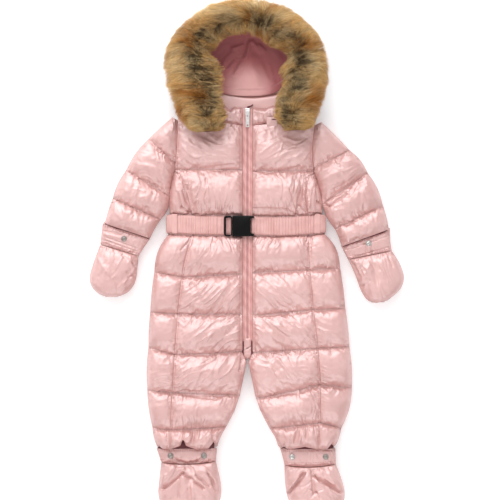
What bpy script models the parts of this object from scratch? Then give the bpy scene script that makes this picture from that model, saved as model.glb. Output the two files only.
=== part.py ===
"""Quilted baby snowsuit with a fur-edged hood, fold-over mittens and booties, laid on its back.

+X is the wearer's left, +Y runs from the feet to the hood and +Z is up, off the surface it lies on.
The suit lies in two layers that meet on one flat plane: the back panels below it, with a flat
underside, and the puffed front panels above it. All sizes are in millimetres until they are put
into a mesh. Tables give distances from the middle of the suit, so the same columns serve both sides.
"""

import math
from collections import namedtuple

import bmesh
import bpy
from mathutils import Matrix, Vector

MM = 0.001

# Driving dimensions
LAYER = 14.0          # height of the plane where the front panels lie on the back panels
LAYER_GAP = 0.8       # between the two layers
WALL = 3.0            # wadding and two cloths, sewn flat at a seam
SEAM = 0.4            # between two pieces that are sewn edge to edge
DOME = 7.0            # how much the worn-in front stands up in the middle of the body
BODY_LOFT = 17.0      # how far a filled channel puffs above its stitch lines
SLEEVE_LOFT = 15.0
UNDER_RIM = 10.6      # height of the back layer's lower edge at a side seam
UNDER_RADIUS = 16.0   # how far in from the seam the underside comes down flat
ZIP_HALF = 8.4        # half the width of the zip that shows
BELT_WIDTH = 28.0
BELT_THICK = 1.8
GATHER_PITCH = 5.0    # spacing of the ribs of the gathered elastic
SNAP_RADIUS = 5.6

# Rows across each filled channel, as shares of its height, and columns across a panel
PUFF_ROWS = (0.0, 0.13, 0.34, 0.66, 0.87)
CENTRE_COLUMNS = (0.0, 0.07, 0.22, 0.42, 0.62, 0.82, 0.94, 1.0)
SIDE_COLUMNS = (0.0, 0.2, 0.5, 0.78, 0.93, 1.0)
PLAIN_COLUMNS = (0.0, 0.33, 0.67, 1.0)
UNDER_COLUMNS = (0.0, 0.05, 0.16, 0.5, 0.84, 0.95, 1.0)

COLOURS = {  # linear colour, roughness, metallic
    "shell": ((0.79, 0.47, 0.45), 0.35, 0.15),
    "lining": ((0.62, 0.30, 0.31), 0.6, 0.0),
    "fur": ((0.42, 0.25, 0.11), 0.9, 0.0),
    "zip": ((0.72, 0.36, 0.35), 0.55, 0.0),
    "metal": ((0.80, 0.80, 0.78), 0.25, 1.0),
    "buckle": ((0.008, 0.008, 0.009), 0.3, 0.0),
    "belt": ((0.80, 0.46, 0.44), 0.5, 0.0),
}

# One row for each stitch line of the body. inner_y is at the zip or inseam, seam is on the seam
# between the centre and side panels, edge is on the armhole or side seam. The bulges belong to the
# channel below the line, and valley is how much of the puff is left on the line.
BodyLine = namedtuple("BodyLine", "name inner_y seam edge seam_bulge edge_bulge valley")
BODY_LINES = {
    "r": (
        BodyLine("shoulder", 223, (118, 240), (118, 240), -1, -1, 0.25),
        BodyLine("chest", 148, (120, 151), (123.5, 149), -3, 4, 0.2),
        BodyLine("waist_top", 70, (93, 71), (133, 72), 0, 0, 0.1),
        BodyLine("waist_low", 36, (93, 38), (134, 40), 2, 7, 0.1),
        BodyLine("hip", -29, (112, -34), (159, -26), 0, 1, 0.2),
        BodyLine("seat", -97, (119, -97), (166, -94), 0, 1, 0.22),
        BodyLine("thigh", -161, (124, -166), (169, -154), 0, 2, 0.2),
        BodyLine("knee", -235, (128, -231), (171, -227), 0, 2, 0.15),
        BodyLine("shin", -289, (131, -294), (162, -291), 0, 2, 0.22),
        BodyLine("hem", -317, (131, -324), (153, -322), 0, 0, 0.45),
    ),
    "l": (
        BodyLine("shoulder", 223, (116, 234), (116, 234), -4, -4, 0.25),
        BodyLine("chest", 146, (109, 148), (112.5, 146), -7, 4, 0.2),
        BodyLine("waist_top", 68, (103, 68), (128, 72), 0, 0, 0.1),
        BodyLine("waist_low", 37, (104, 38), (129, 42), -1, 8, 0.1),
        BodyLine("hip", -26, (106, -22), (158, -19), 0, 1, 0.2),
        BodyLine("seat", -99, (112, -89), (167, -88), 0, 1, 0.22),
        BodyLine("thigh", -163, (120, -155), (174, -153), 0, 2, 0.2),
        BodyLine("knee", -241, (124, -217), (178, -223), 0, 5, 0.15),
        BodyLine("shin", -292, (123, -281), (160, -292), 0, 2, 0.22),
        BodyLine("hem", -320, (120, -323), (148, -319), 0, 0, 0.45),
    ),
}
# Distance of the zip edge, then of the inseam, from the middle
InnerEdge = namedtuple("InnerEdge", "y x")
INNER_EDGE = (
    InnerEdge(300, 9), InnerEdge(-163, 9), InnerEdge(-179, 1.5), InnerEdge(-200, 5.5),
    InnerEdge(-236, 13), InnerEdge(-262, 22), InnerEdge(-291, 37), InnerEdge(-306, 47),
    InnerEdge(-330, 57),
)
CROTCH_TOP = -110     # the legs' own rounding starts here
CROTCH_BLEND = 70
BACK_NECK = 243       # the back panels reach higher than the front ones at the neck
BACK_HEM = -325       # and a little lower at the ankles

# One row for each stitch line of a sleeve. Where inner is one number, it is a height on the armhole.
SleeveLine = namedtuple("SleeveLine", "name outer inner outer_bulge inner_bulge valley")
SLEEVE_LINES = {
    "r": (
        SleeveLine("cap", (128, 238), 232, 1, 0, 0.3),
        SleeveLine("upper", (169, 201), 160, 4, 0, 0.3),
        SleeveLine("elbow", (207, 148), 104, 3, 2, 0.18),
        SleeveLine("lower", (230, 100), (148, 64), 1, 1, 0.22),
        SleeveLine("cuff", (242, 61), (165.5, 34), 0, 0, 0.3),
    ),
    "l": (
        SleeveLine("cap", (126, 230), 224, 1, 0, 0.3),
        SleeveLine("upper", (174, 182), 151, 4, 0, 0.3),
        SleeveLine("elbow", (205, 143), 90, 4, 2, 0.15),
        SleeveLine("lower", (231, 88), (149, 48), 1, 1, 0.25),
        SleeveLine("cuff", (240, 50), (160, 20), 0, 0, 0.3),
    ),
}
ARMHOLE_GAP = 0.9

# One row for each station from a mitten's or bootie's opening to its tip
Station = namedtuple("Station", "outer inner")
MITTEN_BAND = {
    "r": (Station((247, 57.5), (168, 31.5)), Station((256, 6), (186, 1))),
    "l": (Station((240.5, 46.5), (161.5, 17.5)), Station((247, 8), (174, -5))),
}
MITTEN = {
    "r": (
        Station((256, 5), (186, 0)), Station((265, -17), (188, -18)), Station((269, -35), (190, -36)),
        Station((266, -50), (195, -49)), Station((255, -62), (205, -61)), Station((240, -68), (222, -68)),
    ),
    "l": (
        Station((247, 7), (174, -6)), Station((259, -11), (179, -19)), Station((267, -34), (186, -36)),
        Station((261, -54), (193, -56)), Station((243, -71), (203, -72)), Station((230, -77), (214, -78)),
    ),
}
BOOTIE_BAND = {
    "r": (Station((155, -326.5), (52, -326)), Station((147, -350), (54, -348))),
    "l": (Station((150, -326.5), (58, -326)), Station((151, -353), (63, -355))),
}
UNDER_START = {  # where the undersides meet the sleeves and the legs
    "mitten": {"r": Station((246, 62), (165, 33.4)), "l": Station((244, 51.1), (159.5, 19.4))},
    "bootie": {"r": Station((155, -325.4), (53, -325.4)), "l": Station((150, -325.4), (55, -325.4))},
}
BOOTIE = {
    "r": (
        Station((147, -351), (54, -349)), Station((150, -378), (47, -378)), Station((152, -403), (45, -403)),
        Station((147, -422), (51, -422)), Station((128, -437), (70, -437)),
    ),
    "l": (
        Station((151, -354), (63, -356)), Station((161, -381), (64, -384)), Station((166, -404), (68, -408)),
        Station((161, -424), (77, -427)), Station((143, -438), (95, -439)),
    ),
}

# Soft troughs and ridges of the worn cloth: middle, length, direction in degrees, width, height
Fold = namedtuple("Fold", "x y length direction width height")
FOLDS = (
    Fold(-101, 92, 48, 100, 8, -5), Fold(-86, 86, 44, 95, 7, 3), Fold(89, 96, 60, 88, 8, -5),
    Fold(103, 88, 40, 100, 8, 4), Fold(-60, 22, 34, 80, 8, -3), Fold(58, 22, 34, 100, 8, -3),
    Fold(-45, -75, 70, 50, 9, -3), Fold(-30, -125, 80, 45, 9, -3), Fold(50, -128, 70, 150, 9, -3),
    Fold(-88, -60, 50, 120, 8, -2.5), Fold(-75, -200, 60, 75, 9, -3), Fold(40, -205, 60, 62, 9, -3),
    Fold(-92, -306, 26, 78, 7, -6), Fold(84, -304, 28, 70, 7, -5), Fold(100, -302, 28, 62, 6, -4),
    Fold(-132, -376, 44, 50, 6, -4), Fold(-68, -376, 46, 140, 6, -4), Fold(-98, -385, 52, 92, 5, -3),
    Fold(84, -384, 46, 60, 6, -5), Fold(140, -382, 50, 145, 6, -5), Fold(112, -380, 46, 95, 5, -3),
    Fold(-195, -20, 30, 60, 5, -3), Fold(216, -25, 44, 100, 6, -4), Fold(-160, 118, 40, 160, 7, -3),
    Fold(152, 118, 44, 35, 7, -3),
)

# The hood's edge seen from above, a rounded D, and its height all round
HOOD_MIDDLE = (1.0, 330.0)
HOOD_HALF_WIDTH = 82.0
HOOD_UP = 62.0
HOOD_DOWN = 53.0
HOOD_ROUNDNESS = 2.5
HOOD_RIM = 38.1
HOOD_NECK_RIM = 12.0
HOOD_WALL = 8.0
HOOD_STEPS = 30
LINING_WALL = 1.6

# One row for each station of the fur, from the wearer's right front end over the top to the left.
# rest is the height that its underside has inside and outside the hood's edge.
FurStation = namedtuple("FurStation", "inner outer rest_in rest_out crest")
FUR = (
    FurStation((-56, 211), (-96, 210), 47, 47, 74),
    FurStation((-41, 217), (-115, 214), 44, 44, 84),
    FurStation((-34, 238), (-126, 238), 42, 42, 90),
    FurStation((-39, 258), (-134, 264), 36, 30, 92),
    FurStation((-43, 278), (-141, 290), 39, 18, 92),
    FurStation((-43, 300), (-144, 315), 39, 1.2, 91),
    FurStation((-46, 322), (-142, 340), 39, 1.2, 93),
    FurStation((-53, 341), (-130, 372), 39, 1.2, 92),
    FurStation((-44, 360), (-108, 400), 39, 1.2, 90),
    FurStation((-24, 371), (-66, 426), 39, 1.2, 88),
    FurStation((-1, 376), (-8, 438.5), 39, 1.2, 86),
    FurStation((19, 366), (46, 432), 39, 1.2, 88),
    FurStation((37, 353), (86, 412), 39, 1.2, 90),
    FurStation((54, 337), (120, 378), 39, 1.2, 92),
    FurStation((58, 316), (136, 344), 39, 1.2, 93),
    FurStation((57, 296), (139, 318), 39, 1.2, 92),
    FurStation((57, 276), (136, 288), 39, 18, 92),
    FurStation((54, 256), (130, 262), 36, 30, 91),
    FurStation((52, 236), (120, 238), 42, 42, 88),
    FurStation((56, 218), (110, 219), 44, 44, 82),
    FurStation((66, 212), (96, 213), 47, 47, 72),
)
FUR_STEPS = 44        # sections along the fur
FUR_TUFTS = 13        # locks that stand out along it
FUR_TUFT = 3.0

COLLAR_LOFT = 9.0
SLIDER_Y = 247.0
PULL_LENGTH = 24.0
PULL_TILT = 10.0
BAR_RADIUS = 0.8


def clamp(value, low=0.0, high=1.0):
    return max(low, min(high, value))


def mix(a, b, share):
    return a + (b - a) * share


def mix2(a, b, share):
    return (mix(a[0], b[0], share), mix(a[1], b[1], share))


def rise(share):
    """Quarter-round profile: 0 at a seam, 1 once share reaches 1."""
    return math.sqrt(1.0 - (1.0 - clamp(share)) ** 2)


def smoothstep(share):
    share = clamp(share)
    return share * share * (3 - 2 * share)


def distance(a, b):
    return math.hypot(a[0] - b[0], a[1] - b[1])


def bulged(start, end, share, bulge, away_from):
    """Point on the line from start to end, bowed away from a point by bulge in the middle."""
    point = Vector(mix2(start, end, share))
    along = Vector(end) - Vector(start)
    normal = Vector((along.y, -along.x)).normalized()
    if normal.dot(point - Vector(away_from)) < 0:
        normal = -normal
    return tuple(point + normal * bulge * math.sin(math.pi * share))


def inner_x(y):
    for upper, lower in zip(INNER_EDGE, INNER_EDGE[1:]):
        if y >= lower.y:
            return mix(upper.x, lower.x, (upper.y - y) / (upper.y - lower.y))
    return INNER_EDGE[-1].x


def rows_of(lines):
    """(upper line, lower line, share) for each section of a panel, top to bottom."""
    for upper, lower in zip(lines, lines[1:]):
        for share in PUFF_ROWS:
            yield upper, lower, share
    yield lines[-2], lines[-1], 1.0


def body_points(upper, lower, share):
    """Inner, seam and edge points of the body on one section."""
    inner_y = mix(upper.inner_y, lower.inner_y, share)
    inner = (inner_x(inner_y), inner_y)
    seam = bulged(upper.seam, lower.seam, share, upper.seam_bulge, (0, inner_y))
    edge = bulged(upper.edge, lower.edge, share, upper.edge_bulge, (0, inner_y))
    return inner, seam, edge


def armhole(side, y):
    """Point of the body's edge at a height, for the sleeve that is sewn to it."""
    found = [body_points(*row)[2] for row in rows_of(BODY_LINES[side])]
    for upper, lower in zip(found, found[1:]):
        if upper[1] >= y >= lower[1]:
            return (mix(upper[0], lower[0], (upper[1] - y) / (upper[1] - lower[1])) + ARMHOLE_GAP, y)
    return found[0]


def channel(upper, lower, share):
    """How full a stitched channel is at a share of its height."""
    valley = mix(upper.valley, lower.valley, share)
    return valley + (1 - valley) * rise(2 * min(share, 1 - share))


def fold_height(x, y):
    height = 0.0
    for fold in FOLDS:
        turn = math.radians(fold.direction)
        along = (x - fold.x) * math.cos(turn) + (y - fold.y) * math.sin(turn)
        across = (y - fold.y) * math.cos(turn) - (x - fold.x) * math.sin(turn)
        height += fold.height * math.exp(-((across / fold.width) ** 2) - (2 * along / fold.length) ** 4)
    return height


def edge_puff(share, width, floors, radii):
    """Fullness across a panel, falling to a floor at each of its two long seams."""
    near, far = share * width, (1 - share) * width
    first = floors[0] + (1 - floors[0]) * rise(near / radii[0])
    last = floors[1] + (1 - floors[1]) * rise(far / radii[1])
    return first * last


def material(name):
    found = bpy.data.materials.get(name)
    if found:
        return found
    colour, roughness, metallic = COLOURS[name]
    made = bpy.data.materials.new(name)
    made.use_nodes = True
    shader = made.node_tree.nodes["Principled BSDF"]
    shader.inputs["Base Color"].default_value = (*colour, 1)
    shader.inputs["Roughness"].default_value = roughness
    shader.inputs["Metallic"].default_value = metallic
    made.diffuse_color = (*colour, 1)
    return made


def add_object(name, mesh, finish, collection, smooth=True):
    mesh.materials.append(material(finish))
    if smooth:
        mesh.shade_smooth()
        mesh.set_sharp_from_angle(angle=math.radians(50))
    made = bpy.data.objects.new(name, mesh)
    collection.objects.link(made)
    return made


def loft(name, rings, finish, collection):
    """A closed solid through rings that each have the same number of points, capped at both ends."""
    shape = bmesh.new()
    loops = [[shape.verts.new(Vector(point) * MM) for point in ring] for ring in rings]
    count = len(rings[0])
    for lower, upper in zip(loops, loops[1:]):
        for i in range(count):
            shape.faces.new((lower[i], lower[(i + 1) % count], upper[(i + 1) % count], upper[i]))
    shape.faces.new(loops[0])
    shape.faces.new(reversed(loops[-1]))
    bmesh.ops.triangulate(shape, faces=[f for f in shape.faces if len(f.verts) > 4])
    bmesh.ops.recalc_face_normals(shape, faces=shape.faces)
    mesh = bpy.data.meshes.new(name)
    shape.to_mesh(mesh)
    shape.free()
    return add_object(name, mesh, finish, collection)


def block(name, size, place, finish, collection, bevel=0.0, segments=2):
    """A box with rounded edges, from its size and middle."""
    bpy.ops.mesh.primitive_cube_add(size=MM)
    made = bpy.context.object
    made.name = made.data.name = name
    made.data.transform(Matrix.Diagonal((*size, 1)))
    made.location = Vector(place) * MM
    made.data.materials.append(material(finish))
    move_to(made, collection)
    if bevel:
        rounding = made.modifiers.new("rounding", "BEVEL")
        rounding.width = bevel * MM
        rounding.segments = segments
    return made


def rod(name, radius, length, place, collection, sides=20):
    """A cylinder along X, from its middle."""
    bpy.ops.mesh.primitive_cylinder_add(radius=radius * MM, depth=length * MM, vertices=sides)
    made = bpy.context.object
    made.name = made.data.name = name
    made.data.transform(Matrix.Rotation(math.pi / 2, 4, "Y"))
    made.location = Vector(place) * MM
    move_to(made, collection)
    return made


def move_to(made, collection):
    for holder in list(made.users_collection):
        holder.objects.unlink(made)
    collection.objects.link(made)


def combine(target, other, operation, helpers):
    """Joins other to target, or cuts it out, and hides it."""
    step = target.modifiers.new(operation.lower(), "BOOLEAN")
    step.operation = operation
    step.solver = "EXACT"
    step.object = other
    move_to(other, helpers)
    other.hide_render = True
    other.display_type = "WIRE"


def sided(side, point):
    return (point[0] if side == "l" else -point[0], point[1])


def front_pad(name, side, sections, columns, loft_height, floors, radii, finish, collection, wall=WALL):
    """A filled front panel. Each section is its two ends, its fullness and its dome at each column."""
    rings = []
    for first, last, fullness, crown in sections:
        width = distance(first, last)
        outer = []
        for share in columns:
            x, y = sided(side, mix2(first, last, share))
            puff = edge_puff(share, width, floors, radii)
            crease = rise(share * width / 10) * rise((1 - share) * width / 10) * fold_height(x, y)
            top = loft_height * puff * fullness + crown(share)
            outer.append((x, y, LAYER + wall + max(top + crease * fullness, 0.0)))
        inner = [
            (*sided(side, mix2(first, last, share)), LAYER + LAYER_GAP / 2)
            for share in reversed(PLAIN_COLUMNS)
        ]
        rings.append(outer + inner)
    return loft(name, rings, finish, collection)


def back_pad(name, side, sections, rims, finish, collection, band=None):
    """A back panel: flat where it lies, rounded up to its seams, and raised over the belt's band."""
    lengths = [0.0]
    for (first, last), (next_first, next_last) in zip(sections, sections[1:]):
        step = distance(mix2(first, last, 0.5), mix2(next_first, next_last, 0.5))
        lengths.append(lengths[-1] + step)
    rings = []
    for (first, last), run in zip(sections, lengths):
        width = distance(first, last)
        ends = rise(run / UNDER_RADIUS) * rise((lengths[-1] - run) / UNDER_RADIUS)
        under = []
        for share in UNDER_COLUMNS:
            x, y = sided(side, mix2(first, last, share))
            flat = edge_puff(share, width, rims, (UNDER_RADIUS, UNDER_RADIUS)) * ends
            lift = 2.6 if band and band[0] <= y <= band[1] else 0.0
            under.append((x, y, lift + (UNDER_RIM - lift) * (1 - flat)))
        over = [
            (*sided(side, mix2(first, last, share)), LAYER - LAYER_GAP / 2)
            for share in reversed(PLAIN_COLUMNS)
        ]
        rings.append(under + over)
    return loft(name, rings, finish, collection)


def body_crown(inner, edge, first, last):
    """Height of the dome under a section: round over the whole body, and over each leg lower down."""
    legs = smoothstep((CROTCH_TOP - inner[1]) / CROTCH_BLEND)

    def crown(share):
        across = clamp((mix(first[0], last[0], share) - inner[0]) / (edge[0] - inner[0]))
        return DOME * mix(1 - across**2, 4 * across * (1 - across), legs)

    return crown


def make_body(side, collection):
    lines = BODY_LINES[side]
    centre, flank = [], []
    for upper, lower, share in rows_of(lines):
        inner, seam, edge = body_points(upper, lower, share)
        full = channel(upper, lower, share)
        if upper.name == "waist_top":
            full = 0.1
        last = (seam[0] - SEAM / 2, seam[1])
        centre.append((inner, last, full, body_crown(inner, edge, inner, last)))
        first, end = (seam[0] + SEAM / 2, seam[1]), edge
        if upper.name != "shoulder":
            flank.append((first, end, full, body_crown(inner, edge, first, end)))
    front_pad(f"front_centre_{side}", side, centre, CENTRE_COLUMNS, BODY_LOFT,
              (0.35, 0.45), (14, 16), "shell", collection)
    front_pad(f"front_side_{side}", side, flank, SIDE_COLUMNS, BODY_LOFT,
              (0.45, 0.0), (16, 22), "shell", collection)
    make_back(side, collection)


def make_back(side, collection):
    """One back panel from the shoulder to the hem, with the belt's band pressed in at the waist."""
    lines = BODY_LINES[side]
    sections = []
    for upper, lower, share in rows_of(lines):
        if share in (PUFF_ROWS[2], PUFF_ROWS[3]) and upper.name != "waist_top":
            continue
        inner, _, edge = body_points(upper, lower, share)
        y = inner[1]
        if upper.name == "shoulder":
            y = mix(BACK_NECK, lower.inner_y, share)
        if lower.name == "hem":
            y = mix(upper.inner_y, BACK_HEM, share)
            edge = (edge[0], mix(upper.edge[1], BACK_HEM, share))
        middle = 0.3 if y > -172 else inner[0]
        sections.append(((middle, y), edge))
    band = (lines[3].inner_y - 4, lines[2].inner_y + 6)
    back_pad(f"back_{side}", side, sections, (0.7, 0.0), "shell", collection, band)


def sleeve_rows(side):
    """(outer point, inner point, fullness) for each section of a sleeve."""
    lines = SLEEVE_LINES[side]
    for upper, lower, share in rows_of(lines):
        outer = bulged(upper.outer, lower.outer, share, upper.outer_bulge, (100, upper.outer[1]))
        if isinstance(lower.inner, tuple):
            top = upper.inner if isinstance(upper.inner, tuple) else armhole(side, upper.inner)
            inner = bulged(top, lower.inner, share, -upper.inner_bulge, outer)
        else:
            inner = armhole(side, mix(upper.inner, lower.inner, share))
        yield outer, inner, channel(upper, lower, share)


def round_crown(height):
    return lambda share: height * 4 * share * (1 - share)


def make_sleeve(side, collection):
    rows = list(sleeve_rows(side))
    front = [(inner, outer, full, round_crown(5)) for outer, inner, full in rows]
    front_pad(f"sleeve_front_{side}", side, front, CENTRE_COLUMNS, SLEEVE_LOFT,
              (0.3, 0.0), (16, 22), "shell", collection)
    back = [(inner, outer) for i, (outer, inner, _) in enumerate(rows) if i % 5 not in (2, 3)]
    back_pad(f"sleeve_back_{side}", side, back, (0.3, 0.0), "shell", collection)


def between(stations, steps):
    """Sections through the stations of a mitten or bootie, with their share of the whole."""
    for number in range(steps + 1):
        place = number / steps * (len(stations) - 1)
        i = min(int(place), len(stations) - 2)
        outer = mix2(stations[i].outer, stations[i + 1].outer, place - i)
        inner = mix2(stations[i].inner, stations[i + 1].inner, place - i)
        yield outer, inner, number / steps


def make_pouch(kind, side, stations, loft_height, steps, collection):
    """The top and the underside of a mitten or bootie, which close at the tip."""
    tops, unders = [], []
    for outer, inner, share in between(stations, steps):
        full = mix(0.35, 1, rise(share / 0.3)) * mix(0.12, 1, rise((1 - share) / 0.35))
        tops.append((inner, outer, full, round_crown(4 * rise((1 - share) / 0.3))))
    front_pad(f"{kind}_top_{side}", side, tops, CENTRE_COLUMNS, loft_height,
              (0.0, 0.0), (20, 20), "shell", collection)
    for outer, inner, _ in between((UNDER_START[kind][side], *stations), steps):
        unders.append((inner, outer))
    back_pad(f"{kind}_under_{side}", side, unders, (0.0, 0.0), "shell", collection)


def make_band(kind, side, stations, height, collection):
    """The turned-back cuff of a mitten or bootie, flat and a little padded."""
    sections = []
    for outer, inner, share in between(stations, 5):
        full = mix(0.45, 1, rise(2.4 * min(share, 1 - share)))
        sections.append((inner, outer, full, round_crown(1.5)))
    front_pad(f"{kind}_band_{side}", side, sections, CENTRE_COLUMNS, height,
              (0.0, 0.0), (12, 12), "shell", collection, wall=2.4)


def make_snap(name, x, y, z, collection):
    """A pressed metal cap: a turned profile, rim, groove and shallow dome."""
    profile = (
        (0.0, 2.5), (SNAP_RADIUS * 0.45, 2.4), (SNAP_RADIUS * 0.62, 1.7), (SNAP_RADIUS * 0.8, 2.0),
        (SNAP_RADIUS, 1.2), (SNAP_RADIUS, 0.2), (0.0, 0.2),
    )
    mesh = bpy.data.meshes.new(name)
    points = [(radius * MM, 0, height * MM) for radius, height in profile]
    mesh.from_pydata(points, [(i, i + 1) for i in range(len(points) - 1)], [])
    made = add_object(name, mesh, "metal", collection, smooth=False)
    made.location = Vector((x, y, z)) * MM
    turn = made.modifiers.new("turn", "SCREW")
    turn.steps = turn.render_steps = 18
    turn.use_merge_vertices = True
    turn.merge_threshold = 0.00001
    turn.use_smooth_shade = True
    return made


def make_snaps(collection):
    """One snap on each mitten's band and two on each bootie's, seated on the bands."""
    seats = (
        ("snap_mitten_r", -210, 31, 22.9), ("snap_mitten_l", 206, 23, 22.9),
        ("snap_bootie_r_outer", -131, -338, 22.6), ("snap_bootie_r_inner", -74, -338, 22.6),
        ("snap_bootie_l_inner", 76, -340, 22.6), ("snap_bootie_l_outer", 133, -340, 22.6),
    )
    for name, x, y, z in seats:
        make_snap(name, x, y, z, collection)


def make_collar(side, collection):
    """A front half of the stand collar, from the zip to under the fur."""
    sections = []
    for number in range(7):
        share = number / 6
        low = mix2((9, 224), (86, 236.5), share)
        high = mix2((9, 254), (80, 262), share)
        full = mix(0.3, 1, rise(2 * share / 0.5)) * mix(0.2, 1, rise((1 - share) / 0.2))
        sections.append((low, high, full, round_crown(1)))
    front_pad(f"collar_{side}", side, sections, CENTRE_COLUMNS, COLLAR_LOFT,
              (0.25, 0.1), (9, 9), "shell", collection, wall=4.0)


def make_collar_back(collection):
    """The back of the collar. Its inner face shows through the neck."""
    rings = []
    for number in range(9):
        share = number / 8
        x = mix(-84, 84, share)
        top = 13.2 - 2 * rise(2 * min(share, 1 - share))
        curve = 1 - (abs(x - HOOD_MIDDLE[0]) / (HOOD_HALF_WIDTH + 4)) ** HOOD_ROUNDNESS
        seam = min(HOOD_MIDDLE[1] - HOOD_DOWN * curve ** (1 / HOOD_ROUNDNESS) - 0.5, 280)
        rings.append((
            (x, BACK_NECK + 0.4, 2), (x, BACK_NECK + 0.4, top), (x, 262, top - 1),
            (x, seam, top - 1.5), (x, seam, 2), (x, 260, 0),
        ))
    loft("collar_back", rings, "lining", collection)


def hood_reach(turn):
    """Distance from the hood's middle to its edge in a direction, a rounded D."""
    up = HOOD_UP if math.sin(turn) > 0 else HOOD_DOWN
    across = abs(math.cos(turn) / HOOD_HALF_WIDTH) ** HOOD_ROUNDNESS
    along = abs(math.sin(turn) / up) ** HOOD_ROUNDNESS
    return (across + along) ** (-1 / HOOD_ROUNDNESS)


def hood_rim(turn):
    """Height of the hood's edge: low at the neck seam, full height all round the face."""
    toward_neck = smoothstep((-math.sin(turn) - 0.35) / 0.45)
    return mix(HOOD_RIM, HOOD_NECK_RIM, toward_neck)


def hood_ring(reach, height, inset=0.0):
    """A ring of the hood: reach is a share of the way out, height a share of the rim's height."""
    ring = []
    for number in range(HOOD_STEPS):
        turn = 2 * math.pi * number / HOOD_STEPS
        out = hood_reach(turn) * reach - inset
        level = height(hood_rim(turn))
        ring.append((HOOD_MIDDLE[0] + out * math.cos(turn), HOOD_MIDDLE[1] + out * math.sin(turn), level))
    return ring


def make_hood(collection):
    """The padded shell of the hood, open like a bowl, and the lining that shows inside it."""
    shell = [
        hood_ring(0.3, lambda rim: 0.0), hood_ring(0.72, lambda rim: 0.0),
        hood_ring(0.87, lambda rim: 0.1 * rim), hood_ring(0.97, lambda rim: 0.4 * rim),
        hood_ring(1.0, lambda rim: 0.85 * rim), hood_ring(1.0, lambda rim: rim, 2.5),
        hood_ring(1.0, lambda rim: 0.93 * rim, 7.0), hood_ring(0.97, lambda rim: 0.5 * rim + 2, HOOD_WALL),
        hood_ring(0.87, lambda rim: 0.15 * rim + 5, HOOD_WALL), hood_ring(0.3, lambda rim: HOOD_WALL),
    ]
    loft("hood_shell", shell, "shell", collection)
    off = 1.2
    inside = [
        hood_ring(0.3, lambda rim: HOOD_WALL + off), hood_ring(0.87, lambda rim: 0.15 * rim + 5 + off, 8.7),
        hood_ring(0.97, lambda rim: 0.5 * rim + 2 + off, 9.2), hood_ring(1.0, lambda rim: 0.93 * rim + off, 8.6),
        hood_ring(1.0, lambda rim: 0.93 * rim + off, 10.4),
        hood_ring(0.97, lambda rim: 0.5 * rim + 2 + off + LINING_WALL, 11.4),
        hood_ring(0.87, lambda rim: 0.15 * rim + 5 + off + LINING_WALL, 10.4),
        hood_ring(0.3, lambda rim: HOOD_WALL + off + LINING_WALL),
    ]
    loft("hood_lining", inside, "lining", collection)


def rim_share(inner, outer):
    """Where the line from inner to outer crosses the hood's edge, as a share of its length."""
    for number in range(101):
        x, y = mix2(inner, outer, number / 100)
        out = (x - HOOD_MIDDLE[0], y - HOOD_MIDDLE[1])
        if math.hypot(*out) >= hood_reach(math.atan2(out[1], out[0])):
            return number / 100
    return 1.0


def fur_section(station, wave):
    """Closed outline of the fur across the hood's edge: a hump with a skirt outside the edge."""
    inner, outer, rest_in, rest_out, crest = station
    width = distance(inner, outer)
    edge = clamp(rim_share(inner, outer) + 2.6 / width, 0.12, 0.7)
    if rest_out > 20:
        edge = 0.5
    tuft = FUR_TUFT * wave
    outline = (
        (0.0, mix(rest_in, crest, 0.28)), (0.05, rest_in + 3), (0.14, rest_in), (edge - 3 / width, rest_in),
        (edge, rest_in - 1), (edge + 1.5 / width, mix(rest_in - 1, rest_out, 0.9)),
        (mix(edge, 1, 0.35), rest_out), (0.93, rest_out + 3), (1.0, mix(rest_out, crest, 0.34)),
        (0.96, mix(rest_out, crest, 0.62) + tuft), (0.82, mix(rest_out, crest, 0.86) + tuft),
        (0.6, crest + tuft), (0.38, crest - 3 - tuft), (0.17, mix(rest_in, crest, 0.8) - tuft),
        (0.04, mix(rest_in, crest, 0.55)),
    )
    return [(*mix2(inner, outer, share), level) for share, level in outline]


def fur_station(place):
    """A station part of the way between two rows of the table, on a smooth curve through them."""
    i = min(int(place), len(FUR) - 2)
    t = place - i
    rows = [FUR[clamp(i + k, 0, len(FUR) - 1)] for k in (-1, 0, 1, 2)]
    weights = (
        -0.5 * t + t * t - 0.5 * t**3, 1 - 2.5 * t * t + 1.5 * t**3,
        0.5 * t + 2 * t * t - 1.5 * t**3, -0.5 * t * t + 0.5 * t**3,
    )
    pair = lambda key: tuple(sum(w * getattr(r, key)[n] for w, r in zip(weights, rows)) for n in (0, 1))
    levels = [mix(getattr(rows[1], key), getattr(rows[2], key), t) for key in ("rest_in", "rest_out", "crest")]
    return FurStation(pair("inner"), pair("outer"), *levels)


def make_fur(collection):
    rings = []
    for number in range(FUR_STEPS + 1):
        share = number / FUR_STEPS
        wave = math.sin(2 * math.pi * FUR_TUFTS * share) * rise(4 * min(share, 1 - share))
        rings.append(fur_section(fur_station(share * (len(FUR) - 1)), wave))
    loft("fur_trim", rings, "fur", collection)


def zip_height(y):
    """Height of the zip's face: lower where the belt cinches the waist and near the crotch."""
    waist = math.exp(-(((y - 54) / 26) ** 2))
    return 26.0 - 2.4 * waist - 3.0 * smoothstep((-90 - y) / 80) + 2.0 * smoothstep((y - 205) / 30)


def make_zip(side, collection):
    """Half of the zip that shows: its tape, with the ridge of the closed teeth at the middle."""
    rings = []
    for number in range(24):
        y = mix(252, -158, number / 23)
        top = zip_height(y)
        section = ((0.2, top - 1.2), (0.2, top + 1.1), (2.2, top + 1.1), (2.8, top), (ZIP_HALF, top),
                   (ZIP_HALF, top - 1.2))
        rings.append([(x if side == "l" else -x, y, z) for x, z in section])
    loft(f"zip_tape_{side}", rings, "zip", collection)


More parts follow.
